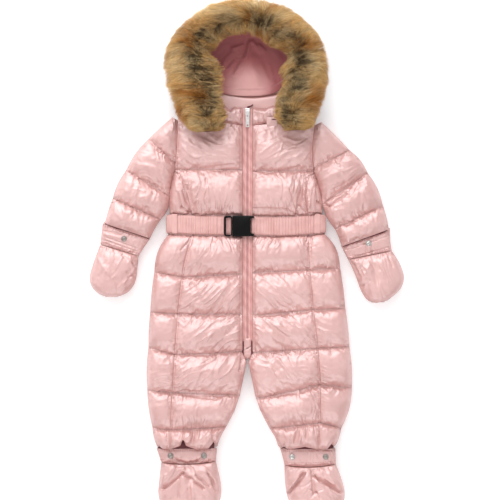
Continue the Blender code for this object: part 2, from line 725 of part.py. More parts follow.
def make_slider(collection, helpers):
    """The slider on the zip's top, with two ears and the bar that the pull hangs on."""
    base = zip_height(SLIDER_Y) + 1.5
    bar = base + 5.4
    body = block("zip_slider", (8.5, 12, 3), (0, SLIDER_Y - 1, base + 1.5), "metal", collection, 0.8, 2)
    for x in (-3.0, 3.0):
        ear = block("ear", (1.4, 4.4, 6.6), (x, SLIDER_Y, base + 3.7), "metal", collection)
        combine(body, ear, "UNION", helpers)
    combine(body, rod("bar", BAR_RADIUS, 7.0, (0, SLIDER_Y, bar), collection, 16), "UNION", helpers)
    pull = rod("zip_pull", 2.0, 4.0, (0, 0, 0), collection, 20)
    pull.data.materials.append(material("metal"))
    tab = block("tab", (6.8, PULL_LENGTH, 1.4), (0, -PULL_LENGTH / 2 - 3.2, 0), "metal", collection, 0.4, 1)
    neck = block("neck", (3.6, 4, 1.4), (0, -2.4, 0), "metal", collection)
    combine(pull, neck, "UNION", helpers)
    combine(pull, tab, "UNION", helpers)
    combine(pull, rod("bore", BAR_RADIUS + 0.3, 12.0, (0, 0, 0), collection, 20), "DIFFERENCE", helpers)
    for y, radius in ((-8.0, 1.3), (-24.0, 1.5)):
        bpy.ops.mesh.primitive_cylinder_add(radius=radius * MM, depth=6 * MM, vertices=16)
        hole = bpy.context.object
        hole.location = Vector((0, y, 0)) * MM
        combine(pull, hole, "DIFFERENCE", helpers)
    tilt = bpy.data.objects.new("pull_pivot", None)
    collection.objects.link(tilt)
    tilt.location = Vector((0, SLIDER_Y, bar)) * MM
    tilt.rotation_euler.x = math.radians(PULL_TILT)
    for part in (pull, *[step.object for step in pull.modifiers]):
        part.parent = tilt


def belt_seat(side, x):
    """Height of the front panels under the belt."""
    edge = BODY_LINES[side][2].edge[0]
    return LAYER + WALL + DOME * (1 - clamp((x - 9) / (edge - 9)) ** 2) + 0.1 * BODY_LOFT


def belt_path(side, start):
    """(x, height, outward direction, y of the middle) from the buckle round the side to underneath."""
    edge = max(BODY_LINES[side][2].edge[0], BODY_LINES[side][3].edge[0])
    count = round((edge - 6 - start) / GATHER_PITCH * 2)
    path = []
    for number in range(count + 1):
        x = mix(start, edge - 6, number / count)
        path.append((x, belt_seat(side, x) + 0.8, (0.05, 1.0)))
    path += [
        (edge - 1, belt_seat(side, edge - 1), (0.5, 0.85)), (edge + 1.9, 16.5, (0.95, 0.3)),
        (edge + 2.2, 12.5, (1.0, 0.0)), (edge + 1.4, 8.5, (0.95, -0.3)), (edge - 1.4, 5.2, (0.7, -0.7)),
        (edge - 6.5, 2.9, (0.3, -0.95)), (edge - 13, 2.1, (0.0, -1.0)),
    ]
    return path, count


def make_belt(side, start, sag, collection):
    """Half of the gathered elastic belt, ribbed across, from the buckle round the side seam."""
    path, gathers = belt_path(side, start)
    rings = []
    for i, (x, height, (out_x, out_z)) in enumerate(path):
        share = clamp((x - start) / (path[gathers][0] - start))
        under = clamp((i - gathers) / (len(path) - 1 - gathers))
        middle = 54 - sag * math.sin(math.pi * share) + 3 * share - 2.5 * under
        rib = 0.7 if i % 2 and i < gathers else 0.0
        thick = BELT_THICK + rib
        inside = [(x, middle + offset, height) for offset in (BELT_WIDTH / 2, -BELT_WIDTH / 2)]
        outside = [(x + out_x * thick, y, height + out_z * thick) for x, y, height in inside]
        outside.insert(1, (outside[0][0], middle, outside[0][2] + out_z * rib))
        ring = inside + outside[::-1]
        rings.append([(*sided(side, (px, py)), pz) for px, py, pz in ring])
    loft(f"belt_{side}", rings, "belt", collection)


def make_belt_back(collection):
    """The belt's back, pressed between the back panels and the surface it lies on."""
    edges = {side: BODY_LINES[side][3].edge[0] - 13.4 for side in "rl"}
    block("belt_back", (edges["r"] + edges["l"], BELT_WIDTH, BELT_THICK),
          ((edges["l"] - edges["r"]) / 2, 54.5, 0.25 + BELT_THICK / 2), "belt", collection)


def make_belt_loop(side, x, collection):
    """A narrow loop sewn at the side seam, over the belt."""
    rings = []
    over = belt_seat(side, x - 4) + BELT_THICK + 2.6
    for y, height in ((73, over - 0.7), (71, over - 0.1), (66, over), (47, over), (42, over - 0.1), (40, over - 0.7)):
        rings.append([
            (*sided(side, (x - 4.5, y)), height), (*sided(side, (x + 4.5, y)), height - 1.2),
            (*sided(side, (x + 4.5, y)), height + 0.1), (*sided(side, (x - 4.5, y)), height + 1.3),
        ])
    loft(f"belt_loop_{side}", rings, "belt", collection)


def make_buckle(collection, helpers):
    """The fastened side-release buckle: a body, and the frame that the belt's end runs under."""
    base = belt_seat("r", 9) + 1.0
    block("buckle_body", (31.6, 34, 8.4), (-9.8, 53.5, base + 4.2), "buckle", collection, 1.6, 2)
    frame = block("buckle_frame", (14, 34, 3.6), (-33, 53.5, base + 5.4), "buckle", collection, 1.0, 2)
    window = block("window", (7.2, 27, 9), (-33.2, 53.5, base + 5.4), "buckle", collection)
    combine(frame, window, "DIFFERENCE", helpers)


def make_collar_tab(collection):
    """The small stitched tab on the wearer's left of the collar."""
    block("collar_tab", (19, 13, 1.4), (42, 236, 29.0), "shell", collection, 0.4, 1)


def main():
    for old in list(bpy.data.objects):
        bpy.data.objects.remove(old)
    suit = bpy.data.collections.new("baby_snowsuit")
    helpers = bpy.data.collections.new("cutters")
    for collection in (suit, helpers):
        bpy.context.scene.collection.children.link(collection)
    for side in "rl":
        make_body(side, suit)
        make_sleeve(side, suit)
        make_pouch("mitten", side, MITTEN[side], 12.0, 10, suit)
        make_band("mitten", side, MITTEN_BAND[side], 5.0, suit)
        make_pouch("bootie", side, BOOTIE[side], 20.0, 10, suit)
        make_band("bootie", side, BOOTIE_BAND[side], 5.0, suit)
        make_collar(side, suit)
        make_zip(side, suit)
    make_collar_back(suit)
    make_hood(suit)
    make_fur(suit)
    make_slider(suit, helpers)
    make_belt("r", 27.2, 1, suit)
    make_belt("l", 6.4, 3, suit)
    make_belt_back(suit)
    make_belt_loop("r", 124, suit)
    make_belt_loop("l", 119, suit)
    make_buckle(suit, helpers)
    make_collar_tab(suit)
    make_snaps(suit)


main()
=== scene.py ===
import math
from collections import namedtuple

import bmesh
import bpy
import numpy as np
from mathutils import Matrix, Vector


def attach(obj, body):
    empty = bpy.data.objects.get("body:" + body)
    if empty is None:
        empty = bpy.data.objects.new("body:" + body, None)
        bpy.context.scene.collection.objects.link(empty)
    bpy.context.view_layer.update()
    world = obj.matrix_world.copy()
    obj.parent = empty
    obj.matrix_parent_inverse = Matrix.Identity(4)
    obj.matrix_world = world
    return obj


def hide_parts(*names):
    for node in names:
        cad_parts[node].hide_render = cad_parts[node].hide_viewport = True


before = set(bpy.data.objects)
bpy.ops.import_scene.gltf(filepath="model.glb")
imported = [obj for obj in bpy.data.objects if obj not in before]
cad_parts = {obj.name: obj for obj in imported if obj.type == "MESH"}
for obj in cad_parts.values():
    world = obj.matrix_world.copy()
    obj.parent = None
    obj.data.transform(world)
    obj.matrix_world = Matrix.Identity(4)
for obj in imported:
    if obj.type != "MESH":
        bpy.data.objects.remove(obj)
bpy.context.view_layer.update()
mm = 0.001
scene = bpy.context.scene


# small helpers for numbers

def mix(a, b, share):
    return a + (b - a) * share


def mix2(a, b, share):
    return (mix(a[0], b[0], share), mix(a[1], b[1], share))


def clamp(value, low=0.0, high=1.0):
    return max(low, min(high, value))


def rise(share):  # quarter-round profile of a filled channel, 0 at the seam
    return np.sqrt(1.0 - (1.0 - np.clip(share, 0.0, 1.0)) ** 2)


def smoothstep(share):
    share = np.clip(share, 0.0, 1.0)
    return share * share * (3 - 2 * share)


def softNoise(x, y, size, seed):  # smooth random hills about one size across, from -1 to 1
    table = np.random.default_rng(seed).uniform(-1, 1, (64, 64))
    x, y = np.asarray(x) / size + 1000, np.asarray(y) / size + 1000
    i, j = np.floor(x).astype(int), np.floor(y).astype(int)
    u, v = smoothstep(x - i), smoothstep(y - j)
    a, b = table[i % 64, j % 64], table[(i + 1) % 64, j % 64]
    c, d = table[i % 64, (j + 1) % 64], table[(i + 1) % 64, (j + 1) % 64]
    return mix(mix(a, b, u), mix(c, d, u), v)


def lineHeight(x, y, lines):
    height = np.zeros_like(x)
    for (ax, ay), (bx, by), width, lift in lines:
        dx, dy = bx - ax, by - ay
        along = np.clip(((x - ax) * dx + (y - ay) * dy) / (dx * dx + dy * dy), 0, 1)
        gap = np.hypot(x - ax - along * dx, y - ay - along * dy)
        height += lift * np.exp(-((gap / width) ** 2))
    return height


def linear(code):  # sRGB hex to a linear colour
    parts = [int(code[i:i + 2], 16) / 255 for i in (1, 3, 5)]
    return tuple(p / 12.92 if p <= 0.04045 else ((p + 0.055) / 1.055) ** 2.4 for p in parts) + (1.0,)


# camera, floor and light

view = {
    "lens": 93.0, "height": 2220.0, "aim": (4.25, 11.9),
    "floorColour": "#fbfbfb", "floorGlow": 0.15, "worldColour": "#f6f5f7", "worldStrength": 0.46,
}
lampRow = namedtuple("lampRow", "name place aim size power colour")
lamps = [lampRow(*row) for row in (
    ("keySoftbox", (-430, 1670, 1020), (0, 60, 0), (2600, 2000), 53, "#fefdff"),
    ("fillSoftbox", (0, -1500, 1150), (0, -60, 0), (2600, 900), 15, "#fffcfd"),
    ("leftSoftbox", (-1700, 0, 1100), (0, 0, 0), (500, 1900), 5, "#ffffff"),
    ("rightSoftbox", (1700, 0, 1100), (0, 0, 0), (500, 1900), 4, "#ffffff"),
    ("overheadSoftbox", (0, 0, 2700), (0, 0, 0), (3000, 3000), 14, "#ffffff"),
)]


def setStage():
    lens = bpy.data.cameras.new("camera")
    lens.lens, lens.sensor_width = view["lens"], 36
    camera = bpy.data.objects.new("camera", lens)
    camera.location = Vector((*view["aim"], view["height"])) * mm
    scene.collection.objects.link(camera)
    scene.camera = camera
    for lamp in lamps:
        light = bpy.data.lights.new(lamp.name, "AREA")
        light.shape = "RECTANGLE"
        light.size, light.size_y = lamp.size[0] * mm, lamp.size[1] * mm
        light.energy = lamp.power
        light.color = linear(lamp.colour)[:3]
        holder = bpy.data.objects.new(lamp.name, light)
        holder.location = Vector(lamp.place) * mm
        toward = Vector(lamp.place) - Vector(lamp.aim)
        holder.rotation_euler = toward.to_track_quat("Z", "Y").to_euler()
        scene.collection.objects.link(holder)
    scene.world = scene.world or bpy.data.worlds.new("studio")
    scene.world.use_nodes = True
    sky = scene.world.node_tree.nodes["Background"]
    sky.inputs["Color"].default_value = linear(view["worldColour"])
    sky.inputs["Strength"].default_value = view["worldStrength"]
    scene.view_settings.view_transform = "Standard"
    mesh = bpy.data.meshes.new("floor")
    mesh.from_pydata([(x, y, 0) for x, y in ((-4, -4), (4, -4), (4, 4), (-4, 4))], [], [(0, 1, 2, 3)])
    floor = bpy.data.objects.new("floor", mesh)
    floor.location.z = -0.0004
    scene.collection.objects.link(floor)
    mesh.materials.append(makeMattePaper())


# materials: each starts from what the real one is made of

def addNode(tree, kind, inputs=None, links=None, **settings):
    node = tree.nodes.new(kind)
    for name, value in settings.items():
        setattr(node, name, value)
    for name, value in (inputs or {}).items():
        node.inputs[name].default_value = value
    for name, source in (links or {}).items():
        tree.links.new(source, node.inputs[name])
    return node


def startMaterial(name, **inputs):
    made = bpy.data.materials.new(name)
    made.use_nodes = True
    tree = made.node_tree
    shader = tree.nodes["Principled BSDF"]
    for key, value in inputs.items():
        shader.inputs[key.replace("_", " ")].default_value = value
    place = addNode(tree, "ShaderNodeTexCoord").outputs["Object"]
    return made, tree, shader, place


def addNoise(tree, place, scale, detail, **more):
    values = {"Scale": scale, "Detail": detail, **more}
    return addNode(tree, "ShaderNodeTexNoise", values, {"Vector": place}).outputs["Fac"]


def addRibs(tree, place, pitch, direction, distortion=0.0):  # pitch in mm
    values = {"Scale": 1000 / pitch / 20, "Distortion": distortion}
    wave = addNode(tree, "ShaderNodeTexWave", values, {"Vector": place}, bands_direction=direction)
    return wave.outputs["Fac"]


def addTones(tree, amount, *stops):
    node = addNode(tree, "ShaderNodeValToRGB", links={"Fac": amount})
    for element, (position, code) in zip(node.color_ramp.elements, stops):
        element.position = position
        element.color = linear(code)
    return node.outputs["Color"]


def tint(tree, shader, amount, *stops):
    tree.links.new(addTones(tree, amount, *stops), shader.inputs["Base Color"])


def emboss(tree, shader, amount, strength, depth, under=None):  # depth in metres
    links = {"Height": amount} if under is None else {"Height": amount, "Normal": under}
    bump = addNode(tree, "ShaderNodeBump", {"Strength": strength, "Distance": depth}, links)
    tree.links.new(bump.outputs["Normal"], shader.inputs["Normal"])
    return bump.outputs["Normal"]


def makeMattePaper():  # a seamless sheet lit faintly from below, so shadows stay soft and narrow
    made, tree, shader, place = startMaterial("mattePaper", Roughness=0.9, Specular_IOR_Level=0.2)
    shader.inputs["Emission Color"].default_value = linear(view["floorColour"])
    shader.inputs["Emission Strength"].default_value = view["floorGlow"]
    tint(tree, shader, addNoise(tree, place, 3.0, 2.0), (0.3, "#fafafa"), (0.7, view["floorColour"]))
    return made


pearlNylon = {
    "deep": "#c8958f", "light": "#d3a29c", "roughness": 0.43, "metallic": 0.06,
    "weavePitch": 1.1,    # real threads are 0.1 mm apart, drawn coarser so that they show close up
    "crinkle": 4.5,       # size of the small creases that washing leaves
}


def makePearlNylonTaffeta(name="pearlNylonTaffeta", deep=pearlNylon["deep"], light=pearlNylon["light"]):
    # calendered on one face, which gives broad pale highlights and a soft pearl sheen
    made, tree, shader, place = startMaterial(
        name, Roughness=pearlNylon["roughness"], Metallic=pearlNylon["metallic"],
        IOR=1.88, Specular_IOR_Level=1.0, Sheen_Weight=0.1, Sheen_Roughness=0.4)
    tint(tree, shader, addNoise(tree, place, 14.0, 3.0), (0.35, deep), (0.65, light))
    crinkles = addNoise(tree, place, 1000 / pearlNylon["crinkle"], 3.0, Distortion=0.6)
    creased = emboss(tree, shader, crinkles, 0.34, 0.0007)
    warp, weft = (addRibs(tree, place, pearlNylon["weavePitch"], direction) for direction in "XY")
    weave = addNode(tree, "ShaderNodeMath", links={0: warp, 1: weft}, operation="MULTIPLY")
    emboss(tree, shader, weave.outputs[0], 0.06, 0.0002, creased)
    return made


liningCrownShade = {  # in metres: painted shade, deepening away from a point low in the neck
    "paleMiddle": (0.0005, 0.286, 0.015), "paleReach": 0.018, "deepReach": 0.052,
}


def makeBrushedTricotLining(name="brushedTricotLining", deep="#d59c99", light="#e0aba7", crownShadeTone="#a65c5d"):
    # warp-knitted polyester with a raised face: matt, with a faint bloom
    made, tree, shader, place = startMaterial(
        name, Roughness=0.62, Specular_IOR_Level=0.35, Sheen_Weight=0.35, Sheen_Roughness=0.5)
    mottled = addTones(tree, addNoise(tree, place, 18.0, 3.0), (0.35, deep), (0.65, light))
    # painted shade: deeper up in the crown, where the deep hood and the fur over it keep the light out
    away = addNode(tree, "ShaderNodeVectorMath", {1: liningCrownShade["paleMiddle"]}, {0: place},
                   operation="DISTANCE")
    crown = addNode(tree, "ShaderNodeMapRange",
                    {"From Min": liningCrownShade["paleReach"], "From Max": liningCrownShade["deepReach"]},
                    {"Value": away.outputs["Value"]}, interpolation_type="SMOOTHSTEP")
    crownShaded = addNode(tree, "ShaderNodeMix", {7: linear(crownShadeTone)}, {0: crown.outputs["Result"], 6: mottled},
                   data_type="RGBA")
    tree.links.new(crownShaded.outputs[2], shader.inputs["Base Color"])
    emboss(tree, shader, addNoise(tree, place, 700.0, 2.0), 0.2, 0.0004)
    return made


def makeAcrylicFauxFur():  # dyed acrylic guard hairs; each keeps its own tone, drawn darker towards the root as painted shade deep in the pile
    made, tree, shader, _ = startMaterial(
        "acrylicFauxFur", Roughness=0.5, Specular_IOR_Level=0.22, Sheen_Weight=0.05)
    tone = addNode(tree, "ShaderNodeAttribute", attribute_name="hairTone")
    tree.links.new(tone.outputs["Color"], shader.inputs["Base Color"])
    return made


def makeKnittedFurBacking():  # the knitted ground that the hairs stand in, seen only as dark depth
    made, tree, shader, place = startMaterial("knittedFurBacking", Roughness=0.95, Specular_IOR_Level=0.1)
    tufts = addNoise(tree, place, 160.0, 4.0)
    tint(tree, shader, tufts, (0.3, "#33261a"), (0.7, "#6b4d2c"))
    emboss(tree, shader, tufts, 0.8, 0.002)
    return made


def makeWovenZipTape():  # herringbone polyester tape: matt and a little deeper than the shell
    made, tree, shader, place = startMaterial(
        "wovenZipTape", Roughness=0.55, Specular_IOR_Level=0.45, Sheen_Weight=0.2)
    ribs = addRibs(tree, place, 1.6, "DIAGONAL", 0.4)  # really 0.8 mm
    tint(tree, shader, ribs, (0.2, "#d29e99"), (0.8, "#dcaba6"))
    emboss(tree, shader, ribs, 0.3, 0.0003)
    return made


def makeGatheredElasticWebbing():  # a soft woven tube over elastic, pulled into close ribs
    made, tree, shader, place = startMaterial(
        "gatheredElasticWebbing", Roughness=0.5, Specular_IOR_Level=0.45, Sheen_Weight=0.25)
    tint(tree, shader, addNoise(tree, place, 60.0, 2.0), (0.35, "#cd9c96"), (0.65, "#d8aaa4"))
    emboss(tree, shader, addRibs(tree, place, 1.2, "X", 1.5), 0.25, 0.0003)  # really 0.6 mm
    return made


def makeSpunPolyesterThread():  # three plies twisted together, darker than the cloth: painted shade of the groove the stitches lie in
    made, tree, shader, place = startMaterial("spunPolyesterThread", Roughness=0.5, Specular_IOR_Level=0.5)
    tint(tree, shader, addNoise(tree, place, 1500.0, 1.0), (0.3, "#b06b69"), (0.7, "#c48480"))
    return made


def makeNickelPlatedZinc(name="nickelPlatedZinc", deep="#b5b2ad", light="#cfccc8", rough=0.24):
    # die-cast zinc under nickel: a silver face with soft casting ripples
    made, tree, shader, place = startMaterial(name, Roughness=rough, Metallic=1.0)
    ripples = addNoise(tree, place, 350.0, 2.0)
    tint(tree, shader, ripples, (0.3, deep), (0.7, light))
    emboss(tree, shader, ripples, 0.12, 0.0003)
    return made


def makeMouldedAcetalBlack():  # injection-moulded acetal: deep black with soft reflections
    made, tree, shader, place = startMaterial("mouldedAcetalBlack", Roughness=0.34, Specular_IOR_Level=0.15)
    grain = addNoise(tree, place, 900.0, 2.0)
    tint(tree, shader, grain, (0.3, "#030303"), (0.7, "#080708"))
    emboss(tree, shader, grain, 0.1, 0.0002)
    return made


setStage()
finishes = {
    "shell": makePearlNylonTaffeta(), "lining": makeBrushedTricotLining(), "fur": makeAcrylicFauxFur(),
    "zip": makeWovenZipTape(), "metal": makeNickelPlatedZinc(), "buckle": makeMouldedAcetalBlack(),
    "belt": makeGatheredElasticWebbing(),
}
paleShell = makePearlNylonTaffeta("pearlNylonInside", "#d99f99", "#e1aaa3")
# darker thread: painted shade of the stitch grooves
threadShadeFinish = makeSpunPolyesterThread()
backingFinish = makeKnittedFurBacking()
# near-black lining for the strips in deep gaps: painted shade
shadowLining = makeBrushedTricotLining("shadowTricotLining", "#64282e", "#74343c", "#5a2228")
polishedNickel = makeNickelPlatedZinc("polishedNickelPlating", "#dddbd8", "#f2f1ef", 0.3)
# a darker copy of the nickel: painted shade for the snaps that reflect a darker part of the room
dimReflectionNickel = makeNickelPlatedZinc("dimReflectionNickelPlating", "#8a837e", "#a39c96", 0.36)
print("materials, camera and light are ready")


def addPiece(name, points, faces, slot, replaced=(), finish=None, body="suit", smooth=True, levels=0):
    mesh = bpy.data.meshes.new(name)
    mesh.from_pydata((np.asarray(points, float) * mm).tolist(), [], [tuple(int(i) for i in f) for f in faces])
    shape = bmesh.new()
    shape.from_mesh(mesh)
    bmesh.ops.recalc_face_normals(shape, faces=shape.faces)
    shape.to_mesh(mesh)
    shape.free()
    if smooth:
        mesh.shade_smooth()
    mesh.materials.append(finish or finishes[slot])
    piece = bpy.data.objects.new(name, mesh)
    scene.collection.objects.link(piece)
    if levels:
        step = piece.modifiers.new("rounding", "SUBSURF")
        step.levels = step.render_levels = levels
    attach(piece, body)
    if replaced:
        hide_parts(*replaced)
    return piece


def gridFaces(rows, columns, start=0, ring=False):
    index = np.arange(rows * columns).reshape(rows, columns) + start
    if ring:
        index = np.hstack((index, index[:, :1]))
    corners = (index[:-1, :-1], index[1:, :-1], index[1:, 1:], index[:-1, 1:])
    return np.stack(corners, -1).reshape(-1, 4).tolist()


def loftRings(rings, closed=False):  # points and faces of a solid through rings, with flat ends
    rings = np.asarray(rings, float)
    rows, count = rings.shape[:2]
    if closed:
        rings = np.concatenate((rings, rings[:1]))
    faces = gridFaces(len(rings), count, ring=True)
    points = rings.reshape(-1, 3)
    if closed:
        faces = [[i % (rows * count) for i in face] for face in faces]
        points = points[:rows * count]
    else:
        faces += [list(range(count)), list(range((rows - 1) * count, rows * count))]
    return points, faces


def closeGrid(points, level):  # a grid of cloth with walls down, or up, to a flat face at a level
    rows, columns = points.shape[:2]
    parts = [points.reshape(-1, 3)]
    for edge in (points[:, 0], points[:, -1], points[0, 1:-1], points[-1, 1:-1]):
        edge = edge.copy()
        edge[:, 2] = level
        parts.append(edge)
    left = rows * columns
    right, first = left + rows, left + 2 * rows
    last = first + columns - 2
    deep = min(14, rows // 3)  # the rows that each end's flat face takes in
    faces = gridFaces(rows, columns)
    for r in range(rows - 1):
        a, b = r * columns, (r + 1) * columns
        faces.append((a, left + r, left + r + 1, b))
        faces.append((a + columns - 1, b + columns - 1, right + r + 1, right + r))
        if deep <= r < rows - 1 - deep:
            faces.append((left + r, right + r, right + r + 1, left + r + 1))
    for row, start, step in ((0, first, 1), (rows - 1, last, -1)):
        under = [left + row, *range(start, start + columns - 2), right + row]
        for k in range(columns - 1):
            faces.append((row * columns + k, row * columns + k + 1, under[k + 1], under[k]))
        faces.append((*under, *[right + row + step * k for k in range(1, deep + 1)],
                      *[left + row + step * k for k in range(deep, 0, -1)]))
    return np.concatenate(parts), faces


# the suit's pattern, in millimetres from its middle; "r" is the wearer's right

suit = {
    "layer": 14.0,        # plane where the front lies on the back
    "layerGap": 0.8,
    "wall": 3.0,          # wadding and two cloths, sewn flat at a seam
    "seam": 0.04,
    "dome": 7.0,
    "bodyLoft": 17.0,     # puff of a filled channel above its stitch lines
    "sleeveLoft": 15.0,
    "underRim": 10.6,
    "underRadius": 16.0,
    "armholeGap": 0.05,
    "crotchTop": -110.0,
    "crotchBlend": 70.0,
    "backNeck": 243.0,
    "backHem": -325.0,
}
frontFloor = suit["layer"] + suit["layerGap"] / 2
backTop = suit["layer"] - suit["layerGap"] / 2

# one row for each stitch line: its height at the zip or inseam, then its points on the long seam and side
bodyLine = namedtuple("bodyLine", "name innerY seam edge seamBulge edgeBulge valley")
bodyLines = {
    "r": [bodyLine(*row) for row in (
        ("shoulder", 223, (118, 240), (118, 240), -1, -1, 0.42),
        ("chest", 148, (120, 151), (123.5, 149), -3, 4, 0.2),
        ("waistTop", 70, (93, 71), (133, 72), 0, 0, 0.1),
        ("waistLow", 36, (93, 38), (134, 40), 2, 7, 0.1),
        ("hip", -29, (112, -34), (159, -26), 0, 1, 0.2),
        ("seat", -97, (119, -97), (166, -94), 0, 1, 0.22),
        ("thigh", -161, (124, -166), (169, -154), 0, 2, 0.2),
        ("knee", -235, (128, -231), (171, -227), 0, 2, 0.15),
        ("shin", -289, (131, -294), (162, -291), 0, 2, 0.22),
        ("hem", -317, (131, -324), (153, -322), 0, 0, 0.45),
    )],
    "l": [bodyLine(*row) for row in (
        ("shoulder", 223, (116, 234), (116, 234), -4, -4, 0.42),
        ("chest", 146, (109, 148), (112.5, 146), -7, 4, 0.2),
        ("waistTop", 68, (103, 68), (128, 72), 0, 0, 0.1),
        ("waistLow", 37, (104, 38), (129, 42), -1, 8, 0.1),
        ("hip", -26, (106, -22), (158, -19), 0, 1, 0.2),
        ("seat", -99, (112, -89), (167, -88), 0, 1, 0.22),
        ("thigh", -163, (120, -155), (174, -153), 0, 2, 0.2),
        ("knee", -241, (124, -217), (178, -223), 0, 5, 0.15),
        ("shin", -292, (123, -281), (160, -292), 0, 2, 0.22),
        ("hem", -320, (120, -323), (148, -319), 0, 0, 0.45),
    )],
}
innerEdge = (  # height, then distance of the zip edge or inseam from the middle
    (300, 8.5), (-163, 8.5), (-179, 1.5), (-200, 5.5), (-236, 13), (-262, 22), (-291, 37), (-306, 47),
    (-330, 57),
)

# where inner is one number, it is a height on the armhole
sleeveLine = namedtuple("sleeveLine", "name outer inner outerBulge innerBulge valley")
sleeveLines = {
    "r": [sleeveLine(*row) for row in (
        ("cap", (128, 238), 232, 1, 0, 0.3),
        ("upper", (169, 201), 160, 4, 0, 0.3),
        ("elbow", (207, 148), 104, 3, -5, 0.18),
        ("lower", (230, 100), (148, 64), 1, 1, 0.22),
        ("cuff", (242, 61), (165.5, 34), 0, 0, 0.3),
    )],
    "l": [sleeveLine(*row) for row in (
        ("cap", (126, 230), 224, 1, 0, 0.3),
        ("upper", (174, 182), 151, 4, 0, 0.3),
        ("elbow", (205, 143), 90, 4, -3, 0.15),
        ("lower", (231, 88), (149, 48), 1, 1, 0.25),
        ("cuff", (240, 50), (160, 20), 0, 0, 0.3),
    )],
}

# one row for each station from a mitten's or bootie's opening to its tip: outer point, inner point
mittenBand = {
    "r": (((247, 57.5), (168, 31.5)), ((251, 22), (186, 2))),
    "l": (((240.5, 46.5), (161.5, 17.5)), ((246, 11), (172, -4))),
}
mitten = {
    "r": (((251.2, 21), (186, 1)), ((264, -14), (188, -18)), ((269, -35), (190, -36)),
          ((266, -50), (195, -49)), ((255, -62), (205, -61)), ((240, -68), (222, -68))),
    "l": (((246, 10), (172, -5)), ((259, -10), (179, -19)), ((267, -34), (186, -36)),
          ((261, -54), (193, -56)), ((243, -71), (203, -72)), ((230, -77), (214, -78))),
}
bootieBand = {
    "r": (((155, -326.5), (52, -326)), ((147, -350), (54, -348))),
    "l": (((150, -326.5), (58, -326)), ((151, -353), (63, -355))),
}
bootie = {
    "r": (((147, -351), (54, -349)), ((150, -378), (47, -378)), ((152, -403), (45, -403)),
          ((147, -422), (51, -422)), ((128, -437), (70, -437))),
    "l": (((151, -354), (63, -356)), ((161, -381), (64, -384)), ((166, -404), (68, -408)),
          ((161, -424), (77, -427)), ((143, -438), (95, -439))),
}
underStart = {
    "mitten": {"r": ((246, 62), (165, 33.4)), "l": ((244, 51.1), (159.5, 19.4))},
    "bootie": {"r": ((155, -325.4), (53, -325.4)), "l": ((150, -325.4), (55, -325.4))},
}


def bulged(start, end, share, bulge, awayFrom):  # a line bowed away from a point
    point = np.array(mix2(start, end, share))
    along = np.array(end, float) - np.array(start, float)
    normal = np.array((along[1], -along[0])) / np.hypot(*along)
    if normal @ (point - np.array(awayFrom)) < 0:
        normal = -normal
    return tuple(point + normal * bulge * math.sin(math.pi * share))


def innerX(y):
    for upper, lower in zip(innerEdge, innerEdge[1:]):
        if y >= lower[0]:
            return mix(upper[1], lower[1], (upper[0] - y) / (upper[0] - lower[0]))
    return innerEdge[-1][1]


def rowsOf(lines, heights, step):  # (upper line, lower line, share, on a stitch line) from top to bottom
    for upper, lower, height in zip(lines, lines[1:], heights):
        count = max(6, round(height / step))
        for number in range(count):
            yield upper, lower, number / count, number == 0
    yield lines[-2], lines[-1], 1.0, True


def bodyRows(side, step, lines=None):
    lines = lines or bodyLines[side]
    return rowsOf(lines, [a.innerY - b.innerY for a, b in zip(lines, lines[1:])], step)


def bodyPoints(upper, lower, share):
    innerY = mix(upper.innerY, lower.innerY, share)
    inner = (innerX(innerY), innerY)
    seam = bulged(upper.seam, lower.seam, share, upper.seamBulge, (0, innerY))
    edge = bulged(upper.edge, lower.edge, share, upper.edgeBulge, (0, innerY))
    return inner, seam, edge


def armholeTable(side):
    return [bodyPoints(*row[:3])[2] for row in bodyRows(side, 4)]


armholes = {side: armholeTable(side) for side in "rl"}


def armhole(side, y):  # the body's edge at a height, for the sleeve that is sewn to it
    found = armholes[side]
    for upper, lower in zip(found, found[1:]):
        if upper[1] >= y >= lower[1]:
            share = (upper[1] - y) / (upper[1] - lower[1])
            return (mix(upper[0], lower[0], share) + suit["armholeGap"], y)
    return found[0]


frontCuffs = {"r": ((243.5, 56.9), (166.3, 31.6)), "l": ((241, 47.2), (160.9, 17.8))}
frontHems = {"r": (-325.4, -325.9), "l": (-325.4, -325.8)}  # at the inseam, then on the long seam and side


def sleeveRows(side, step, lines=None):  # (inner point, outer point, fullness, on a stitch line)
    lines = lines or sleeveLines[side]
    heights = [math.dist(a.outer, b.outer) for a, b in zip(lines, lines[1:])]
    for upper, lower, share, stitched in rowsOf(lines, heights, step):
        outer = bulged(upper.outer, lower.outer, share, upper.outerBulge, (100, upper.outer[1]))
        if isinstance(lower.inner, tuple):
            top = upper.inner if isinstance(upper.inner, tuple) else armhole(side, upper.inner)
            inner = bulged(top, lower.inner, share, -upper.innerBulge, outer)
        else:
            inner = armhole(side, mix(upper.inner, lower.inner, share))
        yield inner, outer, channel(upper, lower, share), stitched


def channel(upper, lower, share):  # how full a channel is at a share of its height
    valley = mix(upper.valley, lower.valley, share)
    return valley + (1 - valley) * float(rise(2 * min(share, 1 - share)))


def curveWeights(t):  # of four stations, for a smooth curve between the middle two
    return (-0.5 * t + t * t - 0.5 * t**3, 1 - 2.5 * t * t + 1.5 * t**3,
            0.5 * t + 2 * t * t - 1.5 * t**3, -0.5 * t * t + 0.5 * t**3)


def smoothStations(stations, steps):  # (inner, outer, share) on smooth curves through the stations
    last = len(stations) - 1
    for number in range(steps + 1):
        place = number / steps * last
        i = min(int(place), last - 1)
        t = place - i
        rows = [stations[int(clamp(i + k, 0, last))] for k in (-1, 0, 1, 2)]
        weights = curveWeights(t)
        point = [tuple(sum(w * row[e][n] for w, row in zip(weights, rows)) for n in (0, 1)) for e in (0, 1)]
        yield point[1], point[0], number / steps


def edgePuff(share, width, floors, radii):  # fullness across a panel between its two long seams
    first = floors[0] + (1 - floors[0]) * rise(share * width / radii[0])
    last = floors[1] + (1 - floors[1]) * rise((1 - share) * width / radii[1])
    return first * last


